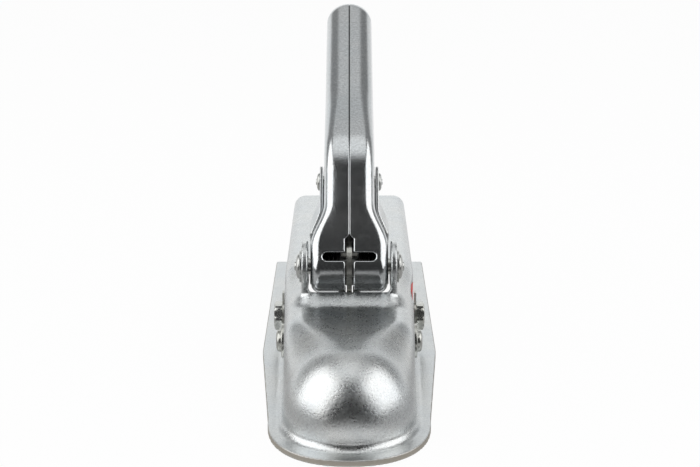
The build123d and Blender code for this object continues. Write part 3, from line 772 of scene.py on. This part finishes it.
    def distance(self, x: Array, y: Array, z: Array) -> Array:
        """Distance to the whole shell.

        Args:
            x: Places across.
            y: Places along the drawbar.
            z: Heights.

        Returns:
            Distance, negative inside.
        """
        flange = round_meet(self.outline(x, y), z - self.flange_top, self.edge)
        shell = round_union(self.core(x, y, z, 0), flange, self.base_fillet)
        shell = round_meet(shell, self.flange_top - self.sheet - z, self.edge)
        shell = round_meet(shell, y - self.end_y, self.end_edge)
        shell = round_union(shell, self.ears(x, y, z), self.ear_fillet)
        foot = self.foot_round * (1 - ease(z, *self.foot_z)) * (1 - ease(y, *self.foot_y))
        angle = math.radians(self.slide_angle)
        dy, dz = y - self.guide[0], z - self.guide[1]
        along = np.clip(dy * math.cos(angle) + dz * math.sin(angle), 0, self.travel)
        slot = np.hypot(dy - along * math.cos(angle), dz - along * math.sin(angle)) - self.guide_r
        opening = np.maximum(self.mouth(x, y), self.channel_top / 2 - z)
        holes = [np.hypot(y - bolt_y, z - self.bolts[2]) - self.bolt_r for bolt_y in self.bolts[:2]]
        for form, edge in ((self.core(x, y, z, self.sheet), self.edge + foot), (opening, self.mouth_edge),
                           (slot, self.guide_edge), (holes[0], self.edge), (holes[1], self.edge)):
            shell = round_cut(shell, form, edge)
        return shell

    def cut_values(self, points: Array, normals: Array) -> Array:
        """How much each point lies on a sheared edge of the sheet.

        Args:
            points: Rows of x, y, z.
            normals: Outward normal of each point.

        Returns:
            Share of each point, from 0 to 1.
        """
        x, y, z = points.T
        low, ahead = self.cut_reach
        flange = ease(self.outline(x, y), *self.cut_outline) * (z < self.flange_top + low)
        flange = flange * ease(1 - np.abs(normals[:, 2]), *self.cut_lean)
        rim = ease(self.mouth(x, y), *self.cut_rim) * (z > self.dome_r) * (y < self.opening[0] + ahead)
        return np.maximum(flange, self.cut_rim_share * rim)

    def build(self, finishes: Finishes) -> None:
        """Draw and place the shell.

        Args:
            finishes: Materials by slot.
        """
        axes = (
            stations((-45.5, 45.5, 1.0)),
            stations((-40.0, 44.0, 1.0), (44.0, 62.0, 0.6), (62.0, 112.0, 1.0), (112.0, 227.0, 2.5),
                     (227.0, 233.5, 0.7)),
            stations((-10.6, -1.6, 0.75), (-1.6, 26.0, 1.0), (26.0, 38.0, 0.7), (38.0, 59.5, 1.0)),
        )
        points, normals, quads = Skin(self.distance, axes).build()
        obj = mesh_object("pressed_shell", points, quads, normals)
        layer = obj.data.attributes.new("cut", "FLOAT", "POINT")
        layer.data.foreach_set("value", self.cut_values(points, normals).astype(np.float32))
        place_piece(obj, Body.HEAD, Slot.PRESSING, finishes, "body_shell")
        self.film(finishes)

    def film(self, finishes: Finishes) -> None:
        """Lay the indicator label on the slope behind the dent.

        Args:
            finishes: Materials by slot.
        """
        place_y, place_z, length, height = self.label
        size = self.film_grid
        share = np.linspace(-0.5, 0.5, size)
        along, up = np.meshgrid(share, share, indexing="ij")
        y, z = (place_y + along * length).ravel(), (place_z + up * (height - self.film_border)).ravel()
        wall = np.array([self._wall(*pair) for pair in zip(y, z)])
        points = np.concatenate([np.stack([wall + lift, y, z], axis=1) for lift in self.film_lift])
        count = size * size
        grid = np.arange(count).reshape(size, size)
        top = np.stack([grid[:-1, :-1], grid[1:, :-1], grid[1:, 1:], grid[:-1, 1:]], axis=-1).reshape(-1, 4)
        loop = np.concatenate([grid[0], grid[1:, -1], grid[-1, -2::-1], grid[-2:0:-1, 0]])
        after = np.roll(loop, -1)
        border = np.stack([loop, after, count + after, count + loop], axis=1)
        faces = np.concatenate([top, count + top[:, [0, 3, 2, 1]], border])
        obj = mesh_object("indicator_film", points, faces)
        obj.data.set_sharp_from_angle(angle=math.radians(self.film_sharp))
        place_piece(obj, Body.HEAD, Slot.LABEL, finishes, "indicator_label")

    def _wall(self, y: float, z: float) -> float:
        """Outside of the right-hand wall at a place, found by halving.

        Args:
            y: Place along the drawbar.
            z: Height.

        Returns:
            Place across.
        """
        low, high = self.wall_search
        for _ in range(self.halvings):
            middle = (low + high) / 2
            inside = self.core(np.array([middle]), np.array([y]), np.array([z]), 0)[0] < 0
            low, high = (middle, high) if inside else (low, middle)
        return low


@dataclass
class LeverFrame:
    """The lever's own coordinates: s up its centre line from the pivot, n towards its back."""

    pivot: Pair = LEVER_PIVOT
    foot_angle: float = 58.2
    grip_angle: float = 26.2
    foot_length: float = 53.5
    bend_r: float = 30.0

    @property
    def bend(self) -> Pair:
        """Places along the centre line where the bend starts and ends.

        Returns:
            Start and end.
        """
        turn = math.radians(self.foot_angle - self.grip_angle)
        start = self.foot_length - self.bend_r * math.tan(turn / 2)
        return start, start + self.bend_r * turn

    def place(self, points: Array, normals: Array, bent: bool = True) -> tuple[Array, Array]:
        """Move points and normals from lever coordinates to the part's frame.

        Args:
            points: Rows of x, s, n.
            normals: Field slopes in the same order.
            bent: Whether the centre line bends.

        Returns:
            Points and unit normals in the part's frame.
        """
        x, s, n = points.T
        start, end = self.bend if bent else (FAR, FAR + 1)
        first = math.radians(self.foot_angle)
        swept = np.clip((s - start) / self.bend_r, 0, (end - start) / self.bend_r)
        angle = first - swept
        straight = np.where(s < start, s, start)
        y = self.pivot[0] + straight * math.cos(first) + self.bend_r * (math.sin(first) - np.sin(angle))
        z = self.pivot[1] + straight * math.sin(first) + self.bend_r * (np.cos(angle) - math.cos(first))
        beyond = np.maximum(s - end, 0)
        y = y + beyond * np.cos(angle) + n * np.sin(angle)
        z = z + beyond * np.sin(angle) - n * np.cos(angle)
        stretch = np.where((s > start) & (s < end), 1 - n / self.bend_r, 1.0)
        along = normals[:, 1] / stretch
        normal_y = along * np.cos(angle) + normals[:, 2] * np.sin(angle)
        normal_z = along * np.sin(angle) - normals[:, 2] * np.cos(angle)
        turned = np.stack([normals[:, 0], normal_y, normal_z], axis=1)
        return np.stack([x, y, z], axis=1), unit(turned)

    def skin(self, name: str, distance: Callable, axes: tuple, bent: bool = True) -> Object:
        """Draw a field of lever coordinates. They are left-handed, so the quads are turned round.

        Args:
            name: Object name.
            distance: The field.
            axes: Grid lines of x, s and n.
            bent: Whether the centre line bends.

        Returns:
            The new object.
        """
        points, normals, quads = Skin(distance, axes).build()
        points, normals = self.place(points, normals, bent)
        return mesh_object(name, points, quads[:, ::-1], normals)


@dataclass
class HandLever:
    """Folded lever with its butt seam and cross-shaped slot."""

    frame: LeverFrame = field(default_factory=LeverFrame)
    sheet: float = 2.5
    barrel_r: float = 13.0
    foot_half: float = 18.7
    foot_edge: float = 4.5
    stem_depth: float = 11.0
    stem_edge: float = 4.6
    grip_half: float = 12.4
    grip_depth: float = 9.2
    grip_edge: float = 7.8
    # Grip's form comes in from before the bend's end to behind it
    grip_blend: Pair = (8.0, 40.0)
    grip_length: float = 130.0
    # Foot narrows over this stretch, and the front's edges are set back by the crown
    flare: Pair = (8.0, 30.0)
    flare_drop: float = 1.0
    crown: float = 1.25
    crown_power: int = 4
    # Upright slot's width and top, cross slot's length, height and place, fillets below and above
    upright: Pair = (4.1, 12.5)
    cross: Triple = (25.6, 4.2, 1.8)
    slot_fillets: Pair = (1.4, 0.3)
    slot_edge: float = 0.7
    # Seam's half gap, floor and lap into the upright slot
    seam: Triple = (0.14, -6.0, 2.0)
    seam_edge: float = 0.35
    # Hollow's end, the open back and its flat rim
    hollow_end: float = 34.0
    open_n: float = 2.5
    open_half: float = 23.0
    rim: float = 10.2
    inner_edge: float = 0.3
    grid_margin: float = 1.0

    def half_width(self, s: Array) -> Array:
        """Half of the lever's width at places along it."""
        return self.foot_half + (self.grip_half - self.foot_half) * ease(s, *self.flare)

    def core(self, x: Array, s: Array, n: Array, inset: float) -> Array:
        """Distance to the lever as one block with a crowned front, set in by inset.

        Args:
            x: Places across.
            s: Places along the centre line.
            n: Places towards the back.
            inset: How far its surface is set in.

        Returns:
            Distance, negative inside.
        """
        bend_start, bend_end = self.frame.bend
        tip = self.frame.foot_length + self.grip_length - self.grip_half
        flare = ease(s, *self.flare)
        half = self.half_width(s)
        stem = np.clip((s - self.flare[1]) / (bend_start - self.flare[1]), 0, 1)
        grip = ease(s, bend_end - self.grip_blend[0], bend_end + self.grip_blend[1])
        depth = self.barrel_r - self.flare_drop * flare
        depth = depth - (self.barrel_r - self.flare_drop - self.stem_depth) * stem
        depth = depth + (self.grip_depth - self.stem_depth) * grip
        edge = self.foot_edge + (self.stem_edge - self.foot_edge) * stem
        edge = edge + (self.grip_edge - self.stem_edge) * grip
        across = np.hypot(x, np.maximum(s - tip, 0))
        deep = np.hypot(n, np.minimum(s, 0))
        deep = deep + self.crown * flare * (n < 0) * np.minimum(across / half, 1) ** self.crown_power
        return round_box(across, deep, half - inset, depth - inset, edge - inset)

    def distance(self, x: Array, s: Array, n: Array) -> Array:
        """Distance to the lever in its own coordinates.

        Args:
            x: Places across.
            s: Places along the centre line.
            n: Places towards the back.

        Returns:
            Distance, negative inside.
        """
        side = np.abs(x)
        gap, floor, lap = self.seam
        width, top = self.upright
        seam = np.maximum(np.maximum(side - gap, n - floor), top - lap - s)
        lever = round_cut(self.core(x, s, n, 0), seam, self.seam_edge)
        hollow = np.maximum(self.core(x, s, n, self.sheet), s - self.hollow_end)
        lever = round_cut(lever, hollow, self.inner_edge)
        inside = np.minimum(side - (self.half_width(s) - self.sheet), self.rim - n)
        back = np.maximum(np.maximum(self.open_n - n, np.abs(s) - self.open_half), inside)
        lever = round_cut(lever, back, self.inner_edge)
        tall = np.maximum(side - width / 2, s + side - top)
        length, height, place = self.cross
        wide = round_box(x, s - place, length / 2, height / 2, height / 2 - ROUND_END)
        slots = round_union(tall, wide, np.where(s < place, *self.slot_fillets))
        return round_cut(lever, np.maximum(slots, n - self.open_n), self.slot_edge)

    def build(self, finishes: Finishes) -> None:
        """Draw and place the lever.

        Args:
            finishes: Materials by slot.
        """
        end = self.frame.foot_length + self.grip_length + self.grid_margin
        axes = (
            stations((-19.6, -2.4, 0.6), (-2.4, 2.4, 0.2), (2.4, 19.6, 0.6)),
            stations((-14.0, 26.0, 0.6), (26.0, 66.0, 1.0), (66.0, 166.0, 2.0), (166.0, end, 0.8)),
            stations((-14.0, 14.0, 0.6)),
        )
        obj = self.frame.skin("folded_lever", self.distance, axes)
        place_piece(obj, Body.LEVER, Slot.LEVER, finishes, "lever")


@dataclass
class SafetyCatch:
    """U-shaped sheet that straddles the lever from behind, its sides drawn in at the front."""

    frame: LeverFrame = field(default_factory=LeverFrame)
    sheet: float = 1.6
    top_half: float = 14.6
    foot_half: float = 19.5
    depth: float = 17.0
    # Ends along the lever: foot, start of the sides, top
    foot_s: float = -6.0
    side_s: float = 15.5
    top_s: float = 50.0
    # Front of the sides, how they draw in there, and the room under the back
    front_n: float = -2.5
    splay_n: float = 6.0
    splay_s: float = 9.0
    room_n: float = 13.3
    flare: Pair = (21.5, 38.5)
    fold: float = 3.0
    outer_edge: float = 0.4
    inner_edge: float = 0.3

    def block(self, x: Array, s: Array, n: Array, inset: float) -> Array:
        """Distance to the catch as one block, set in by inset.

        Args:
            x: Places across.
            s: Places along the centre line.
            n: Places towards the back.
            inset: How far its surface is set in.

        Returns:
            Distance, negative inside.
        """
        reach = np.maximum((self.splay_n - n) / (self.splay_n - self.front_n), 0)
        flare = ease(s + self.splay_s * reach, *self.flare)
        half = self.foot_half + (self.top_half - self.foot_half) * flare - inset
        return round_meet(np.abs(x) - half, n - self.depth + inset, self.fold - inset)

    def distance(self, x: Array, s: Array, n: Array) -> Array:
        """Distance to the catch in the lever's coordinates.

        Args:
            x: Places across.
            s: Places along the centre line.
            n: Places towards the back.

        Returns:
            Distance, negative inside.
        """
        trim = np.maximum(np.maximum(self.foot_s - s, s - self.top_s), self.front_n - n)
        trim = np.maximum(trim, -np.maximum(s - self.side_s, n - self.room_n))
        outer = round_meet(self.block(x, s, n, 0), trim, self.outer_edge)
        return round_cut(outer, self.block(x, s, n, self.sheet), self.inner_edge)

    def build(self, finishes: Finishes) -> None:
        """Draw and place the catch.

        Args:
            finishes: Materials by slot.
        """
        axes = (stations((-20.5, 20.5, 0.6)), stations((-7.0, 51.0, 0.8)), stations((-3.5, 18.0, 0.6)))
        obj = self.frame.skin("catch_sheet", self.distance, axes, bent=False)
        place_piece(obj, Body.CATCH, Slot.CATCH, finishes, "safety_catch")


# Geometry node trees for what repeats


def spread_about(sheet: NodeSheet, form: Socket, place: Socket, count: object) -> Socket:
    """Make copies of a form at one place, each half a turn about the upright from the last.

    Args:
        sheet: Sheet of the tree.
        form: What is copied.
        place: Where the copies stand.
        count: How many there are.

    Returns:
        The copies, made real.
    """
    points = sheet.add("GeometryNodeMeshLine", {"Count": count, "Start Location": place, "Offset": (0, 0, 0)})
    turn = sheet.math("MULTIPLY", sheet.add("GeometryNodeInputIndex").outputs[0], math.pi)
    turns = sheet.add("ShaderNodeCombineXYZ", {2: turn}).outputs[0]
    way = sheet.add("FunctionNodeEulerToRotation", {0: turns})
    copies = sheet.add("GeometryNodeInstanceOnPoints", {
        "Points": points.outputs[0], "Instance": form, "Rotation": way.outputs[0]})
    return sheet.add("GeometryNodeRealizeInstances", {0: copies.outputs[0]}).outputs[0]


def end_tree(sheet: NodeSheet, form: Socket, finish: Socket, sink: bpy.types.Node) -> Tree:
    """Dress a form, hand it on as the tree's result and return the tree.

    Args:
        sheet: Sheet of the tree.
        form: The form.
        finish: Its material.
        sink: The tree's output node.

    Returns:
        The finished tree.
    """
    dressed = sheet.add("GeometryNodeSetMaterial", {"Geometry": form, "Material": finish})
    sheet.feed(sink, {0: dressed.outputs[0]})
    return sheet.tree


def pin_tree() -> Tree:
    """Cross pin: one turned half set on both sides of the middle and joined there.

    Returns:
        The tree.
    """
    sheet, source, sink = new_tree(
        "cross_pin", "Geometry",
        {"Geometry": "Geometry", "Place": "Vector", "Join": "Float", "Finish": "Material"},
        {"Geometry": "Geometry"})
    given = source.outputs
    both = spread_about(sheet, given["Geometry"], given["Place"], 2)
    joined = sheet.add("GeometryNodeMergeByDistance", {"Geometry": both, "Distance": given["Join"]})
    return end_tree(sheet, joined.outputs[0], given["Finish"], sink)


def coil_tree() -> Tree:
    """Coil spring about the cross axis: round wire swept along a helix, one or two of them.

    Returns:
        The tree.
    """
    sheet, source, sink = new_tree(
        "coil_spring", "Geometry",
        {"Geometry": "Geometry", "Place": "Vector", "Start": "Float", "Radius": "Float", "Wire": "Float",
         "Turns": "Float", "Length": "Float", "Count": "Int", "Finish": "Material"}, {"Geometry": "Geometry"})
    given = source.outputs
    helix = sheet.add("GeometryNodeCurveSpiral", {
        "Resolution": HELIX_STEPS, "Rotations": given["Turns"], "Start Radius": given["Radius"],
        "End Radius": given["Radius"], "Height": given["Length"]})
    section = sheet.add("GeometryNodeCurvePrimitiveCircle", {
        "Resolution": WIRE_SIDES, "Radius": sheet.math("MULTIPLY", given["Wire"], 0.5)})
    wire = sheet.add("GeometryNodeCurveToMesh", {
        "Curve": helix.outputs[0], "Profile Curve": section.outputs[0], "Fill Caps": True})
    smooth = sheet.add("GeometryNodeSetShadeSmooth", {"Geometry": wire.outputs[0]})
    start = sheet.add("ShaderNodeCombineXYZ", {0: given["Start"]})
    laid = sheet.add("GeometryNodeTransform", {
        "Geometry": smooth.outputs[0], "Translation": start.outputs[0], "Rotation": (0, math.pi / 2, 0)})
    coils = spread_about(sheet, laid.outputs[0], given["Place"], given["Count"])
    return end_tree(sheet, coils, given["Finish"], sink)


def grow(obj: Object, tree: Tree, values: dict) -> None:
    """Run a tree on an object and keep the result as its plain mesh.

    Args:
        obj: Object whose mesh goes into the tree.
        tree: Geometry node tree.
        values: Input name to value, lengths in metres.
    """
    modifier = obj.modifiers.new(tree.name, "NODES")
    modifier.node_group = tree
    for item in tree.interface.items_tree:
        if item.in_out == "INPUT" and item.name in values:
            modifier[item.identifier] = values[item.name]
    graph = bpy.context.evaluated_depsgraph_get()
    mesh = bpy.data.meshes.new_from_object(obj.evaluated_get(graph))
    obj.modifiers.remove(modifier)
    old, obj.data = obj.data, mesh
    bpy.data.meshes.remove(old)
    mesh.name = obj.name
    mesh.polygons.foreach_set("use_smooth", [True] * len(mesh.polygons))
    mesh.set_sharp_from_angle(angle=SHARP_PINS)


@dataclass(frozen=True)
class TurnedHalf:
    """Half of a cross pin: radius against distance from the middle, some of it cut to a hexagon."""

    name: str
    nodes: tuple[str, ...]
    place: Pair
    profile: tuple[Pair, ...]
    body: Body = Body.HEAD
    flats: float | None = None
    flats_from: float = 0.0
    sides: int = 72

    def form(self) -> tuple[Array, list]:
        """Points and faces of the half, open at the middle and closed at its far end.

        Returns:
            Points and faces.
        """
        angle = np.arange(self.sides) * 2 * math.pi / self.sides
        rows = []
        for x, radius in self.profile:
            reach = np.full(self.sides, radius)
            if self.flats is not None and x >= self.flats_from:
                lean = np.mod(angle + math.pi / 6, math.pi / 3) - math.pi / 6
                reach = np.minimum(reach, self.flats / 2 / np.cos(lean))
            ring = [np.full(self.sides, x), reach * np.sin(angle), reach * np.cos(angle)]
            rows.append(np.stack(ring, axis=1))
        points = np.concatenate(rows + [np.array([[self.profile[-1][0], 0.0, 0.0]])])
        near = np.arange(len(rows) * self.sides).reshape(len(rows), self.sides)
        next_to = np.roll(near, -1, axis=1)
        sides = np.stack([near[:-1], near[1:], next_to[1:], next_to[:-1]], axis=-1).reshape(-1, 4)
        ends = [[a, len(points) - 1, b] for a, b in zip(near[-1], next_to[-1])]
        return points, [*sides, *ends]

    def build(self, tree: Tree, finishes: Finishes) -> None:
        """Turn the half, set it on both sides and place it.

        Args:
            tree: The cross pin's tree.
            finishes: Materials by slot.
        """
        obj = mesh_object(self.name, *self.form())
        grow(obj, tree, {"Place": mid_plane(self.place), "Join": JOIN, "Finish": finishes[Slot.FASTENERS]})
        place_piece(obj, self.body, Slot.FASTENERS, finishes, *self.nodes)


def mid_plane(place: Pair) -> Triple:
    """Place in the part's middle plane, in metres."""
    return 0.0, place[0] * MM, place[1] * MM


def dome(start: Pair, end: Pair, steps: int = 7) -> tuple[Pair, ...]:
    """Quarter-round profile between two places of distance and radius.

    Args:
        start: Where it starts.
        end: Where it ends.
        steps: Number of straight pieces.

    Returns:
        Places of distance and radius.
    """
    turns = [math.pi / 2 * k / steps for k in range(steps + 1)]
    return tuple((start[0] + (end[0] - start[0]) * math.sin(t), end[1] + (start[1] - end[1]) * math.cos(t))
                 for t in turns)


@dataclass(frozen=True)
class Coil:
    """Spring wound about the cross axis from a distance beside the middle, on one side or on both."""

    name: str
    node: str
    body: Body
    place: Pair
    start: float
    radius: float
    wire: float
    turns: float
    count: int

    def build(self, tree: Tree, finishes: Finishes) -> None:
        """Wind the spring and place it.

        Args:
            tree: The coil spring's tree.
            finishes: Materials by slot.
        """
        obj = mesh_object(self.name, np.zeros((0, 3)), [])
        grow(obj, tree, {
            "Place": mid_plane(self.place), "Start": self.start * MM, "Radius": self.radius * MM,
            "Wire": self.wire * MM, "Turns": self.turns, "Length": self.turns * self.wire * COIL_PITCH * MM,
            "Count": self.count, "Finish": finishes[Slot.SPRING]})
        place_piece(obj, self.body, Slot.SPRING, finishes, self.node)


@dataclass
class Fasteners:
    """Cross pins with their heads, the guide bolt's hexagons and the two springs."""

    pivot: Pair = LEVER_PIVOT
    jaw: Pair = (68.0, 6.4)
    guide: Pair = GUIDE_BOLT
    catch: Pair = (92.122, 81.416)
    ear_outer: float = 23.07
    hexagon: float = 13.0
    hexagon_from: float = 30.0
    hexagon_seat: float = 34.35
    hexagon_top: float = 38.5

    def pins(self) -> list[TurnedHalf]:
        """All cross pins.

        Returns:
            The pins, not yet turned.
        """
        ear = self.ear_outer
        washer = ((ear, 7.6), (ear + 0.22, 7.95), (ear + 0.95, 7.95), (ear + 1.17, 7.7), (ear + 1.18, 6.25))
        rivet = ((0, 4.0), (ear, 4.0)) + washer + dome((ear + 1.5, 6.2), (ear + 3.0, 2.5))
        rivet += ((ear + 3.02, 2.3),) + dome((ear + 3.35, 2.2), (ear + 3.78, 1.2), 4)
        jaw = ((0, 5.0), (31.3, 5.0), (31.3, 8.4)) + dome((33.1, 8.6), (33.6, 8.0), 4)
        jaw += ((33.6, 5.7), (34.4, 5.6)) + dome((34.9, 5.5), (36.19, 3.0), 6)
        catch = ((0, 3.0), (14.5, 3.0), (14.5, 4.2)) + dome((14.95, 4.4), (16.1, 1.8)) + ((16.15, 1.6),)
        catch += dome((16.3, 1.5), (16.55, 0.9), 3)
        seat, top = self.hexagon_seat, self.hexagon_top
        corner = self.hexagon / math.sqrt(3)
        bolt = ((0, 4.0), (seat, 4.0), (seat, corner - 0.75), (seat + 0.35, corner))
        bolt += ((top - 0.75, corner), (top - 0.2, corner - 0.95), (top, corner - 1.5), (top, 4.2))
        bolt += ((top - 0.35, 4.0), (top - 0.1, 3.7))
        return [
            TurnedHalf("lever_rivet", ("lever_pin", "lever_washers"), self.pivot, rivet),
            TurnedHalf("jaw_rivet_pin", ("jaw_pin",), self.jaw, jaw),
            TurnedHalf("catch_rivet", ("catch_pin",), self.catch, catch, Body.LEVER),
            TurnedHalf("guide_fixing", ("guide_bolt", "guide_nut"), self.guide, bolt, Body.JAW, self.hexagon,
                       self.hexagon_from),
        ]

    def springs(self) -> list[Coil]:
        """Both springs, not yet wound.

        Returns:
            The springs.
        """
        return [
            Coil("lever_coils", "lever_spring", Body.HEAD, self.pivot, start=4.5, radius=6.3, wire=2.0,
                 turns=4.0, count=2),
            Coil("catch_coil", "catch_spring", Body.LEVER, self.catch, start=2.8, radius=4.0, wire=1.2,
                 turns=3.0, count=1),
        ]

    def build(self, finishes: Finishes) -> None:
        """Make and place them all.

        Args:
            finishes: Materials by slot.
        """
        for pieces, tree in ((self.pins(), pin_tree()), (self.springs(), coil_tree())):
            for piece in pieces:
                piece.build(tree, finishes)


# Studio


@dataclass(frozen=True)
class Softbox:
    """One rectangular lamp that faces the head."""

    name: str
    azimuth: float
    elevation: float
    distance: float
    size: Pair
    power: float

    def build(self, target: Triple) -> None:
        """Add the lamp.

        Args:
            target: Point in metres that it faces.
        """
        lamp = bpy.data.lights.new(self.name, "AREA")
        lamp.shape = "RECTANGLE"
        lamp.size, lamp.size_y = self.size
        lamp.energy = self.power
        obj = bpy.data.objects.new(self.name, lamp)
        az, el = math.radians(self.azimuth), math.radians(self.elevation)
        way = np.array([math.sin(az) * math.cos(el), -math.cos(az) * math.cos(el), math.sin(el)])
        obj.location = np.array(target) + way * self.distance
        obj.rotation_euler = (math.pi / 2 - el, 0, az)
        bpy.context.scene.collection.objects.link(obj)


@dataclass(frozen=True)
class Studio:
    """Floor, world, lamps and camera. The spans and tones shape what the plating mirrors."""

    floor_z: float = -9.65
    floor_half: float = 3000.0
    floor_grey: float = 0.85
    floor_rough: float = 0.9
    floor_white: float = 0.965
    # Painted glow that the floor shows only in reflections: a base tone, painted light from just in front of
    # the head backwards and more far behind, painted shade to the sides ahead
    floor_glow: float = 0.42
    # Steps of a tone have a start, an end and a gain, the floor's in metres
    glow_near: Triple = (-0.15, -0.06, 0.36)
    glow_behind: Triple = (0.10, 0.55, 0.20)
    glow_beside: Triple = (0.02, 0.06, -0.34)
    # The room's steps run over the way that a ray goes
    room_back: Pair = (-0.05, 0.35)
    room_middle: Triple = (0.40, 0.12, 0.28)
    room_lean: Pair = (0.25, 0.68)
    room_level: Triple = (0.64, 0.42, 0.63)
    room_right: Triple = (0.22, 0.55, -0.14)
    room_tone: float = 0.23
    front_tone: float = 0.035
    zenith: Pair = (0.89, 0.97)
    zenith_tone: float = 0.92
    zenith_front: Pair = (-0.58, -0.10)
    room_tint: Triple = (0.985, 1.0, 1.005)
    target: Triple = (0.0, 0.06, 0.03)
    camera_y: float = -580.6
    camera_z: float = 262.8
    pitch: float = 17.2
    lens: float = 72.0
    shift: float = 0.001

    def floor(self) -> None:
        """Pale floor: white to the camera, with a faint shadow; in the plating's reflections it shows a
        painted glow, lighter near and behind the head and darker to the sides in front.
        """
        half, z, grey = self.floor_half, self.floor_z, self.floor_grey
        points = np.array([(-half, -half, z), (half, -half, z), (half, half, z), (-half, half, z)])
        obj = mesh_object("floor", points, [[0, 1, 2, 3]])
        material, sheet, shader = new_material("floor_white")
        sheet.feed(shader, {"Base Color": (grey, grey, grey, 1), "Roughness": self.floor_rough,
                            "Specular IOR Level": 0.0})
        glow = sheet.add("ShaderNodeEmission", {"Color": WHITE, "Strength": 1.0})
        place = sheet.split(sheet.coordinates())
        beside = sheet.step(sheet.math("ABSOLUTE", place["X"]), *self.glow_beside)
        ahead = sheet.math("SUBTRACT", 1.0, sheet.step(place["Y"], *self.glow_behind[:2]))
        tone = sheet.math("MULTIPLY_ADD", beside, ahead, self.floor_glow)
        for span in (self.glow_near, self.glow_behind):
            tone = sheet.math("ADD", tone, sheet.step(place["Y"], *span))
        # Painted glow: the floor's painted light and shade as the plating reflects it, not lit by the lamps
        painted_glow = sheet.add("ShaderNodeEmission", {"Color": tone, "Strength": 1.0})
        path = sheet.add("ShaderNodeLightPath").outputs
        share = sheet.math("MULTIPLY", path["Is Camera Ray"], self.floor_white)
        mix = sheet.add("ShaderNodeMixShader", {0: share, 1: shader.outputs[0], 2: glow.outputs[0]})
        mix = sheet.add("ShaderNodeMixShader", {
            0: path["Is Glossy Ray"], 1: mix.outputs[0], 2: painted_glow.outputs[0]})
        sheet.feed(material.node_tree.nodes["Material Output"], {"Surface": mix.outputs[0]})
        obj.data.materials.append(material)

    def world(self) -> None:
        """Dark room in front, pale room behind with a white horizon, white to the camera."""
        world = bpy.data.worlds.new("studio")
        world.use_nodes = True
        bpy.context.scene.world = world
        sheet = NodeSheet(world.node_tree)
        way = sheet.split(sheet.coordinates("Generated"))
        side = sheet.math("ABSOLUTE", way["X"])
        middle = sheet.step(side, *self.room_middle)
        start, lean = self.room_lean
        spread = sheet.math("MAXIMUM", sheet.math("SUBTRACT", side, start), 0.0)
        height = sheet.math("MULTIPLY_ADD", spread, lean, way["Z"])
        level = sheet.step(height, *self.room_level)
        tone = sheet.math("ADD", sheet.math("ADD", middle, level), self.room_tone)
        right = sheet.math("ADD", sheet.step(way["X"], *self.room_right), 1.0)
        tone = sheet.math("MULTIPLY", sheet.math("MINIMUM", tone, 1.0), right)
        tone = sheet.math("MULTIPLY_ADD", tone, sheet.step(way["Y"], *self.room_back), self.front_tone)
        above = sheet.math("MULTIPLY", sheet.step(way["Z"], *self.zenith),
                           sheet.step(way["Y"], *self.zenith_front))
        tone = sheet.math("ADD", sheet.math("MULTIPLY", tone, sheet.math("SUBTRACT", 1.0, above)),
                          sheet.math("MULTIPLY", above, self.zenith_tone))
        tint = sheet.add("ShaderNodeCombineXYZ", {
            k: sheet.math("MULTIPLY", tone, share) for k, share in enumerate(self.room_tint)})
        camera = sheet.add("ShaderNodeLightPath").outputs["Is Camera Ray"]
        sheet.feed(world.node_tree.nodes["Background"], {
            "Color": sheet.mix(camera, tint.outputs[0], WHITE), "Strength": 1.0})

    def lamps(self) -> None:
        """One large softbox at each side."""
        left = Softbox("softbox_left", azimuth=-73, elevation=34, distance=1.2, size=(1.5, 1.5), power=11.4)
        right = Softbox("softbox_right", azimuth=76, elevation=34, distance=1.2, size=(1.35, 1.35), power=8.6)
        for lamp in (left, right):
            lamp.build(self.target)

    def camera(self) -> None:
        """Camera at the photograph's angle."""
        data = bpy.data.cameras.new("camera")
        data.lens = self.lens
        data.shift_x = self.shift
        obj = bpy.data.objects.new("camera", data)
        obj.location = (0, self.camera_y * MM, self.camera_z * MM)
        obj.rotation_euler = (math.radians(90 - self.pitch), 0, 0)
        bpy.context.scene.collection.objects.link(obj)
        bpy.context.scene.camera = obj

    def build(self) -> None:
        """Set the stage."""
        self.floor()
        self.world()
        self.lamps()
        self.camera()
        bpy.context.scene.view_settings.view_transform = "Standard"


def dress_nodes(frame: dict, finishes: Finishes) -> None:
    """Give every CAD node its slot's finish.

    Args:
        finishes: Materials by slot.
    """
    slots = {part["node"]: part["material_slot"] for part in frame["record"]["subparts"]}
    for name, node in frame["nodes"].items():
        node.data.materials.clear()
        node.data.materials.append(finishes[Slot(slots[name])])


def main() -> None:
    """Build the head and its studio."""
    logging.basicConfig(level=logging.INFO, format="%(name)s: %(message)s")
    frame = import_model()
    finishes = Finishes()
    dress_nodes(frame, finishes)
    for piece in (BodyShell(), HandLever(), SafetyCatch(), Fasteners()):
        piece.build(finishes)
    Studio().build()


if __name__ == "__main__":
    main()
